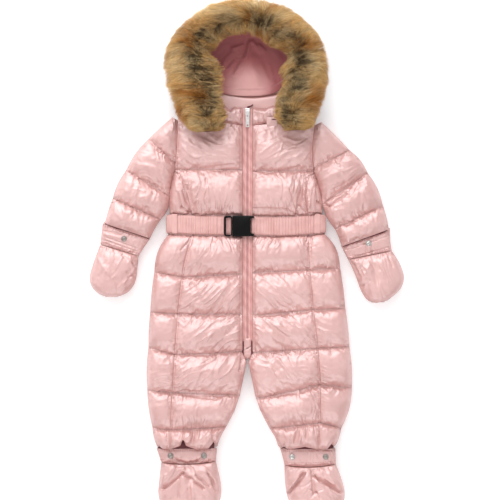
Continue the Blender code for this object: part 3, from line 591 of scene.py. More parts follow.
def bodyCrown(inner, edge, first, last):
    legs = float(smoothstep((suit["crotchTop"] - inner[1]) / suit["crotchBlend"]))

    def crown(share):
        across = np.clip((mix(first[0], last[0], share) - inner[0]) / (edge[0] - inner[0]), 0, 1)
        return suit["dome"] * mix(1 - across**2, 4 * across * (1 - across), legs)

    return crown


def roundCrown(height):
    return lambda share: height * 4 * share * (1 - share)


# filled panels: grids of cloth that one Cloth run puffs between their pinned stitch lines

filling = {
    "step": 2.7,          # spacing of the grid
    "slack": 0.92,        # share of its full loft that the cloth starts from
    "pressure": 9.0,
    "frames": 22,
    "cap": 8.0,           # furthest a point may move
    "spare": 0.008,       # spare cloth in all directions, as a share of the sewn length
    "gather": 0.036,      # more cloth gathered along each stitch line, and a part of it in mid channel
    "gatherMiddle": 0.0,
    "gatherFrames": 9,
    "zipFloor": 0.4, "seamFloor": 0.62, "armholeFloor": 0.6,  # how full a panel stays right at a seam
}
# how far the armhole holds the cloth up: a little at the fold by the underarm, and most of it higher up
armholeHold = {"fold": 0.2, "foldBelow": 8, "foldSpan": 16, "upper": 0.8, "upperStart": 146, "upperSpan": 14}
# how much of the spare cloth each kind of panel is sewn with
spareCloth = {
    "frontCentre": 0.85, "frontSide": 0.75, "sleeveFront": 0.8, "mittenTop": 0.5, "bootieTop": 0.65,
    "mittenBand": 0.3, "bootieBand": 0.3, "collar": 0.6,
}


def makeGrid(name, side, sections, width, loft, floors, radii, wall=None):
    wall = suit["wall"] if wall is None else wall
    floors = floors if isinstance(floors, list) else [floors] * len(sections)
    columns = max(8, round(width / filling["step"]))
    share = np.linspace(0, 1, columns + 1)
    sign = 1 if side == "l" else -1
    points, start, pinned, wide = [], [], [], []
    for (first, last, full, crown, stitched), floor in zip(sections, floors):
        long = math.dist(first, last)
        x, y = mix(first[0], last[0], share), mix(first[1], last[1], share)
        puff = loft * edgePuff(share, long, floor, radii) * full
        base = suit["layer"] + wall + crown(share)
        points.append(np.column_stack((sign * x, y, base + puff)))
        start.append(np.column_stack((sign * x, y, base + puff * filling["slack"])))
        pinned.append(np.full(columns + 1, stitched or full < 0.12))
        spare = spareCloth[name] * mix(filling["gather"], filling["gatherMiddle"], clamp(full))
        wide.append(1 + np.full(columns + 1, spare))
    points, start, pinned, wide = np.array(points), np.array(start), np.array(pinned), np.array(wide)
    pinned[:, 0] = pinned[:, -1] = pinned[0] = pinned[-1] = True
    start[pinned] = points[pinned]
    sewn = np.array([section[4] for section in sections])
    sewn[0] = sewn[-1] = True
    return {"name": f"{name}_{side}", "kind": name, "sign": sign, "points": points, "start": start,
            "pinned": pinned, "sewn": sewn, "wide": wide, "seed": 13 * len(name) + (5 if side == "l" else 0)}


def joined(side, y):  # high on the armhole 1, at the deep fold by the underarm less, and 0 below it
    fold = smoothstep((y - sleeveLines[side][2].inner + armholeHold["foldBelow"]) / armholeHold["foldSpan"])
    upper = smoothstep((y - armholeHold["upperStart"]) / armholeHold["upperSpan"])
    return float(armholeHold["fold"] * fold + armholeHold["upper"] * upper)


def bodyGrids(side):
    centre, flank, flankFloors = [], [], []
    hem, (inseam, outside) = bodyLines[side][-1], frontHems[side]
    hem = hem._replace(innerY=inseam, seam=(hem.seam[0], outside), edge=(hem.edge[0], outside))
    for upper, lower, share, stitched in bodyRows(side, filling["step"], bodyLines[side][:-1] + [hem]):
        inner, seam, edge = bodyPoints(upper, lower, share)
        full = 0.1 if upper.name == "waistTop" else channel(upper, lower, share)
        if upper.name == "shoulder":
            seam = edge
        elif upper.name == "chest":
            seam = mix2(edge, seam, max(0.1, float(smoothstep(share / 0.13))))
        last = (seam[0] - suit["seam"] / 2, seam[1])
        centre.append((inner, last, full, bodyCrown(inner, edge, inner, last), stitched))
        first = (seam[0] + suit["seam"] / 2, seam[1])
        if upper.name != "shoulder":
            flank.append((first, edge, full, bodyCrown(inner, edge, first, edge), stitched))
            flankFloors.append((filling["seamFloor"], filling["armholeFloor"] * joined(side, edge[1])))
    zipFloors = (filling["zipFloor"], filling["seamFloor"])
    return [
        makeGrid("frontCentre", side, centre, 112, suit["bodyLoft"], zipFloors, (14, 16)),
        makeGrid("frontSide", side, flank, 42, suit["bodyLoft"], flankFloors, (16, 22)),
    ]


def sleeveGrid(side):
    outer, inner = frontCuffs[side]
    lines = sleeveLines[side][:-1] + [sleeveLines[side][-1]._replace(outer=outer, inner=inner)]
    rows = [(inner, outer, full, roundCrown(5), stitched)
            for inner, outer, full, stitched in sleeveRows(side, filling["step"], lines)]
    floors = [(filling["armholeFloor"] * joined(side, row[0][1]), 0.0) for row in rows]
    return makeGrid("sleeveFront", side, rows, 84, suit["sleeveLoft"], floors, (16, 22))


def pouchGrid(kind, side, stations, loft, length):
    rows = []
    for inner, outer, share in smoothStations(stations, round(length / filling["step"])):
        start = (0.34, 0.55) if kind == "bootieTop" else (0.16, 0.3)
        full = mix(start[0], 1, rise(share / start[1])) * mix(0.12, 1, rise((1 - share) / 0.35))
        rows.append((inner, outer, full, roundCrown(4 * rise((1 - share) / 0.3)), False))
    return makeGrid(kind, side, rows, 88, loft, (0.0, 0.0), (20, 20))


def bandGrid(kind, side, stations, length):
    rows = []
    for inner, outer, share in smoothStations(stations, round(length / 2.2)):
        full = mix(0.45, 1, rise(2.4 * min(share, 1 - share)))
        rows.append((inner, outer, full, roundCrown(1.5), False))
    return makeGrid(kind, side, rows, 88, 5.0, (0.0, 0.0), (12, 12), wall=2.4)


def collarGrid(side):
    rows = []
    for number in range(31):
        share = number / 30
        low, high = mix2((8.6, 223.6), (86, 236.5), share), mix2((8.6, 254), (80, 262), share)
        full = mix(0.55, 1, rise(2 * share / 0.5)) * mix(0.2, 1, rise((1 - share) / 0.2))
        rows.append((low, high, full, roundCrown(1), False))
    return makeGrid("collar", side, rows, 30, 9.0, (0.5, 0.1), (9, 9), wall=6.5)


def joinGrids(grids):
    points = np.concatenate([grid["start"].reshape(-1, 3) for grid in grids])
    faces, start = [], 0
    for grid in grids:
        made = np.array(gridFaces(*grid["pinned"].shape, start))
        a, b, c = points[made[0][0]], points[made[0][1]], points[made[0][2]]
        faces.append(made if np.cross(b - a, c - a)[2] > 0 else made[:, ::-1])
        start += grid["pinned"].size
    return points, np.concatenate(faces)


def gathered(grid):  # the panel before gathering, with its spare cloth spread out along each row
    points = grid["start"].copy()
    middle = (points[:, :1, :2] + points[:, -1:, :2]) / 2
    points[..., :2] = middle + (points[..., :2] - middle) * grid["wide"][..., None]
    return points.reshape(-1, 3)


def neighbours(points):  # the middle of the four points round each one
    return (np.roll(points, 1, 0) + np.roll(points, -1, 0)
            + np.roll(points, 1, 1) + np.roll(points, -1, 1)) / 4


def settleCloth(grids):  # one Cloth run puffs every panel between its pinned stitch lines
    points, faces = joinGrids(grids)
    pins = np.concatenate([grid["pinned"].ravel() for grid in grids])
    sewn = np.concatenate([np.full(grid["pinned"].size, spareCloth[grid["kind"]]) for grid in grids])
    sewn *= 0.8 + 0.35 * softNoise(points[:, 0], points[:, 1], 22, 3)
    begin = points.copy()
    begin[:, 2] += np.random.default_rng(7).normal(0, 0.15, len(points)) * ~pins
    mesh = bpy.data.meshes.new("settling")
    mesh.from_pydata((begin * mm).tolist(), [], faces.tolist())
    cloth = bpy.data.objects.new("settling", mesh)
    scene.collection.objects.link(cloth)
    cloth.shape_key_add(name="Basis")
    spread = cloth.shape_key_add(name="spread")
    spreadPoints = np.concatenate([gathered(grid) for grid in grids])
    spreadPoints[:, 2] = begin[:, 2]
    spread.data.foreach_set("co", (spreadPoints * mm).ravel())
    spread.value = 1.0
    spread.keyframe_insert("value", frame=1)
    spread.value = 0.0
    spread.keyframe_insert("value", frame=filling["gatherFrames"])
    stitched = cloth.vertex_groups.new(name="stitched")
    stitched.add(np.flatnonzero(pins).tolist(), 1.0, "REPLACE")
    firm = cloth.vertex_groups.new(name="firm")
    for level in range(21):
        chosen = np.flatnonzero(np.round(np.clip(1 - sewn, 0, 1) * 20) == level).tolist()
        if chosen:
            firm.add(chosen, level / 20, "REPLACE")
    run = cloth.modifiers.new("cloth", "CLOTH")
    run.settings.quality = 5
    run.settings.bending_stiffness = 0.08
    run.settings.vertex_group_mass = "stitched"
    run.settings.vertex_group_shrink = "firm"
    run.settings.shrink_min = -filling["spare"]
    run.settings.shrink_max = 0.0
    run.settings.use_pressure = True
    run.settings.uniform_pressure_force = filling["pressure"]
    run.settings.effector_weights.gravity = 0
    run.point_cache.frame_end = filling["frames"]
    for number in range(1, filling["frames"] + 1):
        scene.frame_set(number)
    settled = cloth.evaluated_get(bpy.context.evaluated_depsgraph_get())
    found = np.zeros(len(points) * 3)
    settled.to_mesh().vertices.foreach_get("co", found)
    settled.to_mesh_clear()
    scene.frame_set(1)
    bpy.data.objects.remove(cloth)
    moved = found.reshape(-1, 3) / mm - points
    length = np.linalg.norm(moved, axis=1, keepdims=True)
    moved *= np.minimum(1, filling["cap"] / np.maximum(length, 1e-9))
    start = 0
    for grid in grids:
        count = grid["pinned"].size
        grid["start"] = (points + moved)[start:start + count].reshape(*grid["pinned"].shape, 3)
        start += count
    for grid in grids:  # evens out the crumples of the run, which a filled cloth wouldn't keep
        for turn in range(3):
            cloth, free = grid["start"], ~grid["pinned"]
            cloth[free] = mix(cloth, neighbours(cloth), 0.5)[free]
    print(f"cloth of {len(points)} points settled, middle move {np.median(length):.1f} mm")


def easeOverlaps(grid):  # relaxes the few spots where the cloth has turned over on itself
    points, free = grid["start"], ~grid["pinned"]
    for turn in range(25):
        across = np.gradient(points, axis=1)
        down = np.gradient(points, axis=0)
        up = np.cross(across, down)
        up = up / np.maximum(np.linalg.norm(up, axis=2, keepdims=True), 1e-9)
        flip = np.sign(np.median(up[..., 2]))
        bad = up[..., 2] * flip < 0.1
        spread = bad.copy()
        spread[1:] |= bad[:-1]
        spread[:-1] |= bad[1:]
        spread[:, 1:] |= bad[:, :-1]
        spread[:, :-1] |= bad[:, 1:]
        spread &= free
        if not spread.any():
            break
        points[spread] = mix(points[spread], neighbours(points)[spread], 0.6)


# soft troughs and ridges of the worn cloth: middle, length, direction in degrees, half width, height
foldRow = namedtuple("foldRow", "x y length direction width height")
folds = [foldRow(*row) for row in (
    (-101, 92, 48, 100, 5, -5), (-86, 86, 44, 95, 5, 3), (89, 96, 60, 88, 5, -5),
    (103, 88, 40, 100, 5, 4), (-60, 22, 34, 80, 5, -2), (58, 22, 34, 100, 5, -2),
    (-45, -75, 70, 50, 5, -3), (-30, -125, 80, 45, 5, -3), (50, -128, 70, 150, 6, -3),
    (-88, -60, 50, 120, 6, -2.5), (-75, -200, 60, 75, 6, -2), (40, -205, 60, 62, 6, -2),
    (-92, -306, 26, 78, 4, -6), (84, -304, 28, 70, 4, -5), (100, -302, 28, 62, 4, -4),
    (-132, -376, 44, 50, 5, -4), (-68, -376, 46, 140, 5, -4), (-98, -385, 52, 92, 4, -3),
    (84, -384, 46, 60, 5, -5), (140, -382, 50, 145, 5, -5), (112, -380, 46, 95, 4, -3),
    (-62, 164, 96, 0, 13, 3.5), (-62, 205, 96, 0, 14, -4), (62, 162, 96, 0, 13, 3.5),
    (62, 203, 96, 0, 14, -4), (-195, -20, 30, 60, 5, -3), (216, -25, 44, 100, 5, -4),
    (-160, 118, 40, 160, 6, -3), (152, 118, 44, 35, 6, -3),
)]
# stretches where the worn cloth drags one way: middle, size, direction of the creases, spacing, height
dragRow = namedtuple("dragRow", "x y wide high direction spacing height")
drags = [dragRow(*row) for row in (
    (-62, -70, 62, 48, 42, 9, 1.5), (-52, -128, 60, 40, 38, 10, 1.7), (-40, -185, 50, 44, 48, 10, 1.4),
    (-95, -5, 40, 34, 70, 8, 0.9), (-85, 100, 34, 38, 96, 8, 1.6), (-50, 84, 44, 20, 84, 6, 1.5),
    (-95, 165, 40, 30, 150, 10, 1.2), (-30, 22, 26, 16, 118, 6, 1.2), (-120, -215, 40, 40, 20, 9, 1.2),
    (60, -70, 60, 46, 140, 10, 1.2), (50, -135, 56, 40, 142, 10, 1.6), (45, -190, 46, 40, 130, 10, 1.3),
    (96, 100, 36, 38, 84, 8, 1.6), (55, 84, 44, 22, 98, 6, 1.3), (80, 170, 50, 30, 30, 10, 1.1),
    (30, 22, 26, 16, 60, 6, 1.2), (110, -15, 44, 34, 112, 9, 0.9), (120, -215, 44, 44, 160, 9, 1.1),
    (-165, 140, 44, 40, 155, 10, 1.2), (-190, 85, 44, 34, 78, 9, 1.2), (160, 130, 40, 44, 28, 10, 1.2),
    (190, 80, 44, 34, 104, 9, 1.2), (-98, -285, 44, 30, 84, 8, 1.4), (95, -280, 44, 30, 96, 8, 1.4),
    (-60, 185, 44, 26, 150, 9, 1.1), (62, 185, 44, 26, 30, 9, 1.1), (-112, -160, 34, 30, 40, 9, 1.0),
    (-30, 242, 22, 12, 88, 5.5, 1.3), (30, 242, 24, 12, 95, 5.5, 1.3), (118, -130, 34, 40, 150, 9, 0.9),
    (-205, -30, 26, 36, 60, 9, 1.2), (215, -35, 40, 36, 110, 9, 1.3), (-125, -375, 30, 34, 50, 9, 1.4),
    (-72, -375, 30, 34, 132, 9, 1.4), (88, -380, 30, 34, 58, 9, 1.5), (138, -380, 30, 34, 128, 9, 1.5),
)]
# creases that stay where the cloth is bent over: ends, half width, height
sharpCreases = (
    ((-109, 112), (-92, 73), 1.7, -3), ((-92, 38), (-98, 22), 1.6, -3),
    ((-70, 133), (-71, 102), 1.5, -1.3), ((72, 114), (86, 72), 1.8, -3), ((78, 94), (81, 131), 1.6, -2.2),
    ((118, 122), (120, 94), 1.8, -3.5), ((120, 94), (137, 87), 2.0, -5), ((137, 87), (166, 108), 2.2, -5),
    ((86, 88), (101, 73), 1.8, -3.5), ((101, 73), (120, 73), 1.6, -3), ((108, 37), (105, -5), 1.5, -2.2),
    ((-200, 1), (-193, -24), 2.2, 2), ((-202, -35), (-192, -30), 1.6, -2.5),
    ((-256, -1), (-237, -27), 2.5, 1.8), ((218, -3), (224, -21), 3, -2),
    ((205, -15), (193, -44), 2.5, 2.2), ((193, -16), (186, -29), 1.6, -2.5),
    ((195, -50), (207, -40), 1.8, -2.5), ((-110, -362), (-146, -394), 2.2, -8),
    ((-108, -364), (-74, -390), 2.0, -6), ((-86, -366), (-63, -386), 2.0, -6.5),
    ((-66, -366), (-51, -397), 2.0, -6), ((-115, -372), (-116.5, -405), 1.4, -2.6),
    ((96, -364), (69, -402), 2.1, -7), ((113, -368), (160, -399), 2.3, -8.5),
    ((109, -360), (112, -399), 1.4, -2.8), ((109, -377), (92, -388), 1.6, -2),
    ((115, -396), (105, -390), 1.4, -2.2), ((115, -396), (126, -391), 1.4, -2.2),
    ((115, -396), (108, -405), 1.4, -2.2), ((115, -396), (123, -406), 1.4, -2.2),
    ((-128, -340), (-118, -346), 2.0, -3), ((-118, -346), (-102, -350), 2.0, -3),
    ((-102, -350), (-87, -347), 2.0, -3), ((-87, -347), (-76, -341), 2.0, -3),
    ((-118, -340), (-102, -344), 2.4, 2.0), ((-102, -344), (-88, -341), 2.4, 2.0),
    ((-109, -312), (-108, -290), 1.8, -3), ((-57, -312), (-60, -292), 1.8, -3),
    ((-109, -228), (-70, -229), 1.8, -3), ((92, -318), (93, -296), 1.6, -2),
    ((72, -318), (74, -302), 1.5, -1.6), ((-140, -368), (-144, -385), 2.4, 3),
    ((-94, -384), (-92, -408), 3.0, 2.5), ((132, -372), (146, -384), 2.6, 3),
    ((88, -372), (78, -386), 2.6, 3), ((-249, 45), (-213, 39), 1.4, -2.2),
    ((-240, 33), (-188, 14.5), 1.3, -2.6), ((-242, 28), (-190, 9.5), 1.3, -2.4),
    ((-243, 39), (-216, 32), 2.2, 1.6), ((165, 11), (199, 22.6), 1.3, -2),
    ((199, 22.6), (238, 35), 1.3, -2.4), ((173, 1.5), (193, 3), 1.2, -2), ((193, 3), (213, 9), 1.2, -2),
    ((213, 9), (243, 17), 1.2, -2), ((-236, -18), (-224, -52), 2.6, 1.6),
    ((-196, -8), (-188, -20), 1.6, -2.5), ((-212, 4), (-192, -14), 2.0, -2),
    ((-204, -26), (-188, -34), 1.6, -2), ((180, -12), (188, -30), 1.6, -2),
    ((190, -22), (184, -44), 1.8, 2), ((72, -98), (95, -92), 1.6, -2.4),
    ((20, -99), (72, -96), 1.4, -1.6), ((-20, 66), (-70, 76), 1.6, -1.5),
    ((-96, 74), (-112, 84), 1.8, -4), ((-112, 84), (-118, 108), 1.8, -3),
    ((-80, 150), (-24, 156), 1.6, -1.8), ((30, 142), (88, 152), 1.6, -2.2),
    ((12, 82), (66, 80), 1.8, -2.4), ((66, 80), (84, 70), 1.8, -3), ((-100, 26), (-112, 12), 1.6, -2.6),
    ((100, -92), (150, -88), 1.4, -2), ((-60, -166), (-112, -166), 1.5, -2.4),
    ((40, -236), (92, -229), 1.6, -3), ((92, -229), (118, -219), 1.6, -2.4),
    ((-36, -99), (-100, -97), 1.4, -1.8), ((-45, -30), (-85, -33), 1.4, -1.8),
    ((30, -26), (80, -24), 1.4, -1.8), ((-54, -240), (-105, -234), 1.6, -2.4),
    ((-8, -174), (-11, -192), 2.6, -6), ((-102, 71), (-86, 100), 1.7, -3.2),
    ((84, 72), (92, 118), 1.8, -3.4), ((-20, -28), (-96, -34), 1.3, -2.0),
    ((22, -99), (104, -90), 1.3, -2.0), ((-14, -160), (-60, -164), 1.4, -2.0),
    ((14, -240), (50, -236), 1.5, -2.6), ((-30, -236), (-110, -231), 1.5, -2.6),
    ((-96, 38), (-101, 14), 1.7, -3.0), ((206, 18), (208, 4), 2.2, 2.2), ((202, 18), (203, 3), 1.2, -2),
    ((211, 19), (212, 5), 1.2, -2), ((166, 3), (178, -12), 2.0, -2.5), ((240, 2), (246, -16), 2.2, -2.5),
)
# where the hem stands up off the cuff below it: middle, half width, height
hemGaps = {
    "r": ((-109, 22, 8), (-109, 5, 10), (-150, 6, 4), (-58, 9, 11)),
    "l": ((97, 22, 4), (143, 8, 8), (62, 5, 4)),
}
collarNotches = {"r": ((-30, 7, 6.5),), "l": ((28, 13, 3.5),)}
puckers = {
    "reach": 10.0,        # how far a pucker runs in from its stitch line
    "spacing": 4.8,
    "height": 3.4,
    "edgeHeight": 2.5,    # puckers along the long seams
    "crushed": 1.9,       # crumpled cloth right beside the stitches
    "crumple": 0.45,      # small creases everywhere
    "drag": 1.9,          # how strong the dragged stretches are
    "beltPull": 3.0,      # how far the belt pulls the cloth in at its edges
    "beltReach": 1.4,
    "pull": 2.0,          # how far a stitch line is pulled in
}


# the belt: elastic in a gathered tube, with uneven ribs
belt = {
    "width": 31.4, "thick": 1.8, "middle": 53.6, "backMiddle": 54.5, "rib": 2.2, "pitch": 5.6, "across": 15,
    "sag": {"r": 1.0, "l": 3.0}, "rise": 3.0, "start": {"r": 27.2, "l": 6.4},
    "frontCut": 1.25, "backCut": 1.2,  # flat length as a share of the gathered one
    "cutWidth": 0.03,                  # in metres
}


def beltMiddle(side, x):  # it rises to the side, and sags between
    start = belt["start"][side]
    share = np.clip((x - start) / (bodyLines[side][3].edge[0] - 6 - start), 0, 1)
    return belt["middle"] - belt["sag"][side] * np.sin(np.pi * share) + belt["rise"] * share


def foldHeight(x, y):
    height = np.zeros_like(x)
    for fold in folds:
        turn = math.radians(fold.direction)
        along = (x - fold.x) * math.cos(turn) + (y - fold.y) * math.sin(turn)
        across = (y - fold.y) * math.cos(turn) - (x - fold.x) * math.sin(turn)
        height += fold.height * np.exp(-((across / fold.width) ** 2) - (2 * along / fold.length) ** 4)
    return height


def crease(across, along, spacing, seed):  # long sharp-crested creases, -0.4 to 0.6
    bend = softNoise(along, across, spacing * 3.2, seed + 1) * spacing * 0.9
    hills = softNoise((across + bend) / spacing * 1.6, along / (spacing * 4.2), 1.0, seed)
    return (1 - np.minimum(np.abs(hills) * 1.9, 1)) ** 1.6 - 0.4


def dragHeight(x, y):
    height = np.zeros_like(x)
    for number, drag in enumerate(drags):
        turn = math.radians(drag.direction)
        along = (x - drag.x) * math.cos(turn) + (y - drag.y) * math.sin(turn)
        across = (y - drag.y) * math.cos(turn) - (x - drag.x) * math.sin(turn)
        near = np.exp(-(((x - drag.x) / drag.wide) ** 2 + ((y - drag.y) / drag.high) ** 2) * 1.3)
        height += puckers["drag"] * drag.height * near * crease(across, along, drag.spacing, 200 + number)
    return height


def puckerHeight(points, grid, sewn):  # puckers that run in from the stitch lines and the long seams
    down = np.linalg.norm(np.diff(points, axis=0), axis=2)
    across = np.linalg.norm(np.diff(points, axis=1), axis=2)
    v = np.vstack((np.zeros((1, points.shape[1])), np.cumsum(down, axis=0)))
    u = np.hstack((np.zeros((points.shape[0], 1)), np.cumsum(across, axis=1)))
    reach, seed = puckers["reach"], grid["seed"]
    height = np.zeros_like(u)
    lines = np.flatnonzero(sewn)
    for number, line in enumerate(lines):
        gap = np.abs(v - v[line])
        facing = np.where(v > v[line], 1, 7) + number * 11
        lean = 0.8 * softNoise(u, facing * 50.0, 26, seed)
        uneven = 0.65 + 0.6 * softNoise(u, facing * 70.0, 17, seed + 3)
        long = np.where(v > v[line], 1.5, 0.9) * reach * (1 + 0.7 * softNoise(u, facing * 30.0, 12, seed + 4))
        ridge = crease(u + lean * gap, gap + facing * 90.0, puckers["spacing"], seed + 9)
        height += puckers["height"] * uneven * np.exp(-gap / long) * smoothstep(gap / 2.0) * ridge
        crushed = 0.45 - 1.9 * np.abs(softNoise(u, v + facing * 20.0, 5.6, seed + 40))
        crushed = crushed + 0.8 * softNoise(u, v, 8, seed + 41)
        height += puckers["crushed"] * uneven * np.exp(-((gap / 8.5) ** 2)) * smoothstep(gap / 2.0) * crushed
    for number, gap in enumerate((u, u[:, -1:] - u)):
        lean = 0.8 * softNoise(v, 300.0 + 50 * number, 24, seed + 5)
        uneven = 0.6 + 0.6 * softNoise(v, 500.0 + 70 * number, 19, seed + 6)
        ridge = crease(v + lean * gap, gap + 700.0 * (number + 1), puckers["spacing"], seed + 15)
        height += (puckers["edgeHeight"] * uneven * np.exp(-gap / (reach * 0.8)) * smoothstep(gap / 2.2)
                   * ridge)
        crushed = 0.45 - 1.9 * np.abs(softNoise(u, v, 5.6, seed + 42))
        height += (0.7 * puckers["crushed"] * uneven * np.exp(-((gap / 7) ** 2)) * smoothstep(gap / 2.0)
                   * crushed)
    return height


def refine(points, sewn, axis):  # twice as many rows, on smooth curves that stay creased at stitch lines
    points = np.moveaxis(points, axis, 0)
    before = np.concatenate((points[:1], points[:-1]))
    after = np.concatenate((points[1:], points[-1:]))
    last = np.concatenate((after[1:], after[-1:]))
    curved = (9 * (points + after) - before - last) / 16
    plain = (points + after) / 2
    crossing = sewn | np.concatenate((sewn[1:], sewn[-1:]))
    between = np.where(crossing.reshape(-1, *[1] * (points.ndim - 1)), plain, curved)
    fine = np.empty((2 * len(points) - 1, *points.shape[1:]))
    fine[::2], fine[1::2] = points, between[:-1]
    return np.moveaxis(fine, 0, axis)


def surfaceNormals(points):
    up = np.cross(np.gradient(points, axis=1), np.gradient(points, axis=0))
    up /= np.maximum(np.linalg.norm(up, axis=2, keepdims=True), 1e-9)
    return up * np.sign(np.median(up[..., 2]))


def finishGrid(grid):  # folds, drag lines and puckers of the worn cloth, on a grid twice as fine
    side, kind = grid["name"][-1], grid["kind"]
    points, free = grid["start"], ~grid["pinned"]
    easeOverlaps(grid)
    loft = np.clip((points[..., 2] - suit["layer"] - suit["wall"]) / 12, 0, 1)
    points[..., 2] += foldHeight(points[..., 0], points[..., 1]) * loft * free
    sides = np.zeros(points.shape[1], bool)
    sides[[0, -1]] = True
    points = refine(refine(points, grid["sewn"], 0), sides, 1)
    sewn = np.zeros(points.shape[0], bool)
    sewn[::2] = grid["sewn"]
    x, y = points[..., 0], points[..., 1]
    gap = np.minimum(*[np.linalg.norm(points - points[:, column], axis=2) for column in ([0], [-1])])
    height = puckerHeight(points, grid, sewn) + dragHeight(x, y) * smoothstep(gap / 5)
    height += puckers["crumple"] * softNoise(x, y, 5.5, grid["seed"] + 30) * smoothstep(gap / 4)
    height += lineHeight(x, y, sharpCreases) * smoothstep(gap / 4)
    height[sewn] = height[sewn] * 0.3 - puckers["pull"]
    height[:, [0, -1]] = height[[0, -1]] = 0
    if "Band" in kind:
        height *= 0.8
    if kind in ("frontCentre", "frontSide"):  # the belt pulls the cloth in above and below it
        beside = np.abs(y - beltMiddle(side, np.abs(x))) - belt["width"] / 2 - 0.8
        height -= puckers["beltPull"] * np.exp(-((beside / puckers["beltReach"]) ** 2))
    points = points + surfaceNormals(points) * height[..., None]
    points[..., 2] = np.clip(points[..., 2], frontFloor + 1.4, grid["points"][..., 2].max() + 5)
    if kind == "frontCentre":  # kept clear of the zip's tapes
        beside = points[..., 1] > -160
        far = np.maximum(points[..., 0] * grid["sign"], 7.9)
        points[..., 0] = np.where(beside, far * grid["sign"], points[..., 0])
    if kind in ("frontCentre", "frontSide"):
        lift = 0
        for middle, half, high in hemGaps[side]:
            lift = lift + high * np.clip(1 - np.abs(x - middle) / half, 0, 1) ** 1.2
        points[..., 1] += lift * smoothstep((18 - (y - y[-1:])) / 18)
    if kind in ("bootieBand", "bootieTop"):  # their shared seam sags to the toes
        u = np.linspace(0, 1, points.shape[1])[None, :]
        v = np.linspace(0, 1, points.shape[0])[:, None]
        points[..., 1] -= 3.5 * np.sin(np.pi * u) * (v**2 if "Band" in kind else (1 - v) ** 3)
    if kind == "collar":
        for middle, half, deep in collarNotches[side]:
            points[..., 1] -= deep * np.clip(1 - np.abs(x - middle) / half, 0, 1) * smoothstep((y - 236) / 16)
    grid["cloth"], grid["rows"] = points, sewn


nodeNames = {
    "frontCentre": "front_centre", "frontSide": "front_side", "sleeveFront": "sleeve_front",
    "mittenTop": "mitten_top", "mittenBand": "mitten_band", "bootieTop": "bootie_top",
    "bootieBand": "bootie_band", "collar": "collar",
}


def makeFront():
    grids = []
    for side in "rl":
        grids += bodyGrids(side)
        grids.append(sleeveGrid(side))
        grids.append(pouchGrid("mittenTop", side, mitten[side], 12.0, 74))
        grids.append(bandGrid("mittenBand", side, mittenBand[side], 40))
        grids.append(pouchGrid("bootieTop", side, bootie[side], 20.0, 90))
        grids.append(bandGrid("bootieBand", side, bootieBand[side], 26))
        grids.append(collarGrid(side))
    settleCloth(grids)
    for grid in grids:
        finishGrid(grid)
        points, faces = closeGrid(grid["cloth"], frontFloor)
        side = grid["name"][-1]
        piece = addPiece(grid["name"], points, faces, "shell", [f"{nodeNames[grid['kind']]}_{side}"])
    return {grid["name"]: grid for grid in grids}


front = makeFront()
print("front panels are made")

# the sewing: every stitch is a short bowed piece of thread, and each line of them is one path on the cloth

sewing = {"pitch": 4.2, "length": 3.0, "thick": 0.34, "above": 0.1}


def pathPoints(path, pitch):  # middles and directions of the stitches on a path
    path = np.asarray(path, float)
    run = np.concatenate(([0], np.cumsum(np.linalg.norm(np.diff(path, axis=0), axis=1))))
    stops = np.arange(pitch * 0.6, run[-1] - pitch * 0.4, pitch)
    middles, ahead, behind = (np.column_stack([np.interp(stops + step, run, path[:, k]) for k in range(3)])
                              for step in (0, 0.5, -0.5))
    along = ahead - behind
    return middles, along / np.maximum(np.linalg.norm(along, axis=1, keepdims=True), 1e-9)


def makeStitches(name, paths, up=(0, 0, 1)):
    found = [pathPoints(path, sewing["pitch"]) for path in paths]
    middles, along = (np.concatenate([each[k] for each in found]) for k in (0, 1))
    side = np.cross(along, np.array(up, float))
    side /= np.maximum(np.linalg.norm(side, axis=1, keepdims=True), 1e-9)
    over = np.cross(side, along)
    rings = []
    for place, size, sink in ((-1.0, 0.5, -0.9), (-0.55, 1.0, 0.1), (0.55, 1.0, 0.1), (1.0, 0.5, -0.9)):
        above = sewing["above"] + sink * sewing["thick"]
        heart = middles + along * place * sewing["length"] / 2 + over * above
        for a, b in ((1, 0), (0, 0.95), (-1, 0), (0, -0.87)):
            rings.append(heart + sewing["thick"] * size * (side * a + over * b))
    points = np.stack(rings, 1)
    count = len(middles)
    start = np.arange(count)[:, None] * 16
    faces = []
    for ring in range(3):
        for k in range(4):
            a, b = ring * 4 + k, ring * 4 + (k + 1) % 4
            faces += (start + (a, b, b + 4, a + 4)).tolist()
    faces += (start + (0, 1, 2, 3)).tolist() + (start + (15, 14, 13, 12)).tolist()
    addPiece(name, points.reshape(-1, 3), faces, "shell", finish=threadShadeFinish)
    return count


def panelPaths(side):  # quilting lines, seams beside the zip and down the front, the cuffs' double lines
    paths = []
    for kind in ("frontCentre", "frontSide", "sleeveFront"):
        cloth, rows = front[f"{kind}_{side}"]["cloth"], front[f"{kind}_{side}"]["rows"]
        paths += [cloth[row] for row in np.flatnonzero(rows)[1:-1]]
    centre = front[f"frontCentre_{side}"]["cloth"]
    paths += [centre[4:, 3], centre[4:-6, -3]]
    for kind in ("mittenBand", "bootieBand"):
        cloth = front[f"{kind}_{side}"]["cloth"]
        paths += [cloth[row] for row in (3, 5, -7, -4)]
    collar = front[f"collar_{side}"]["cloth"]
    paths += [collar[3:-3, 2], collar[3:-3, -3]]
    return paths


for side in "rl":
    print("stitches", side, makeStitches(f"stitches_{side}", panelPaths(side)))
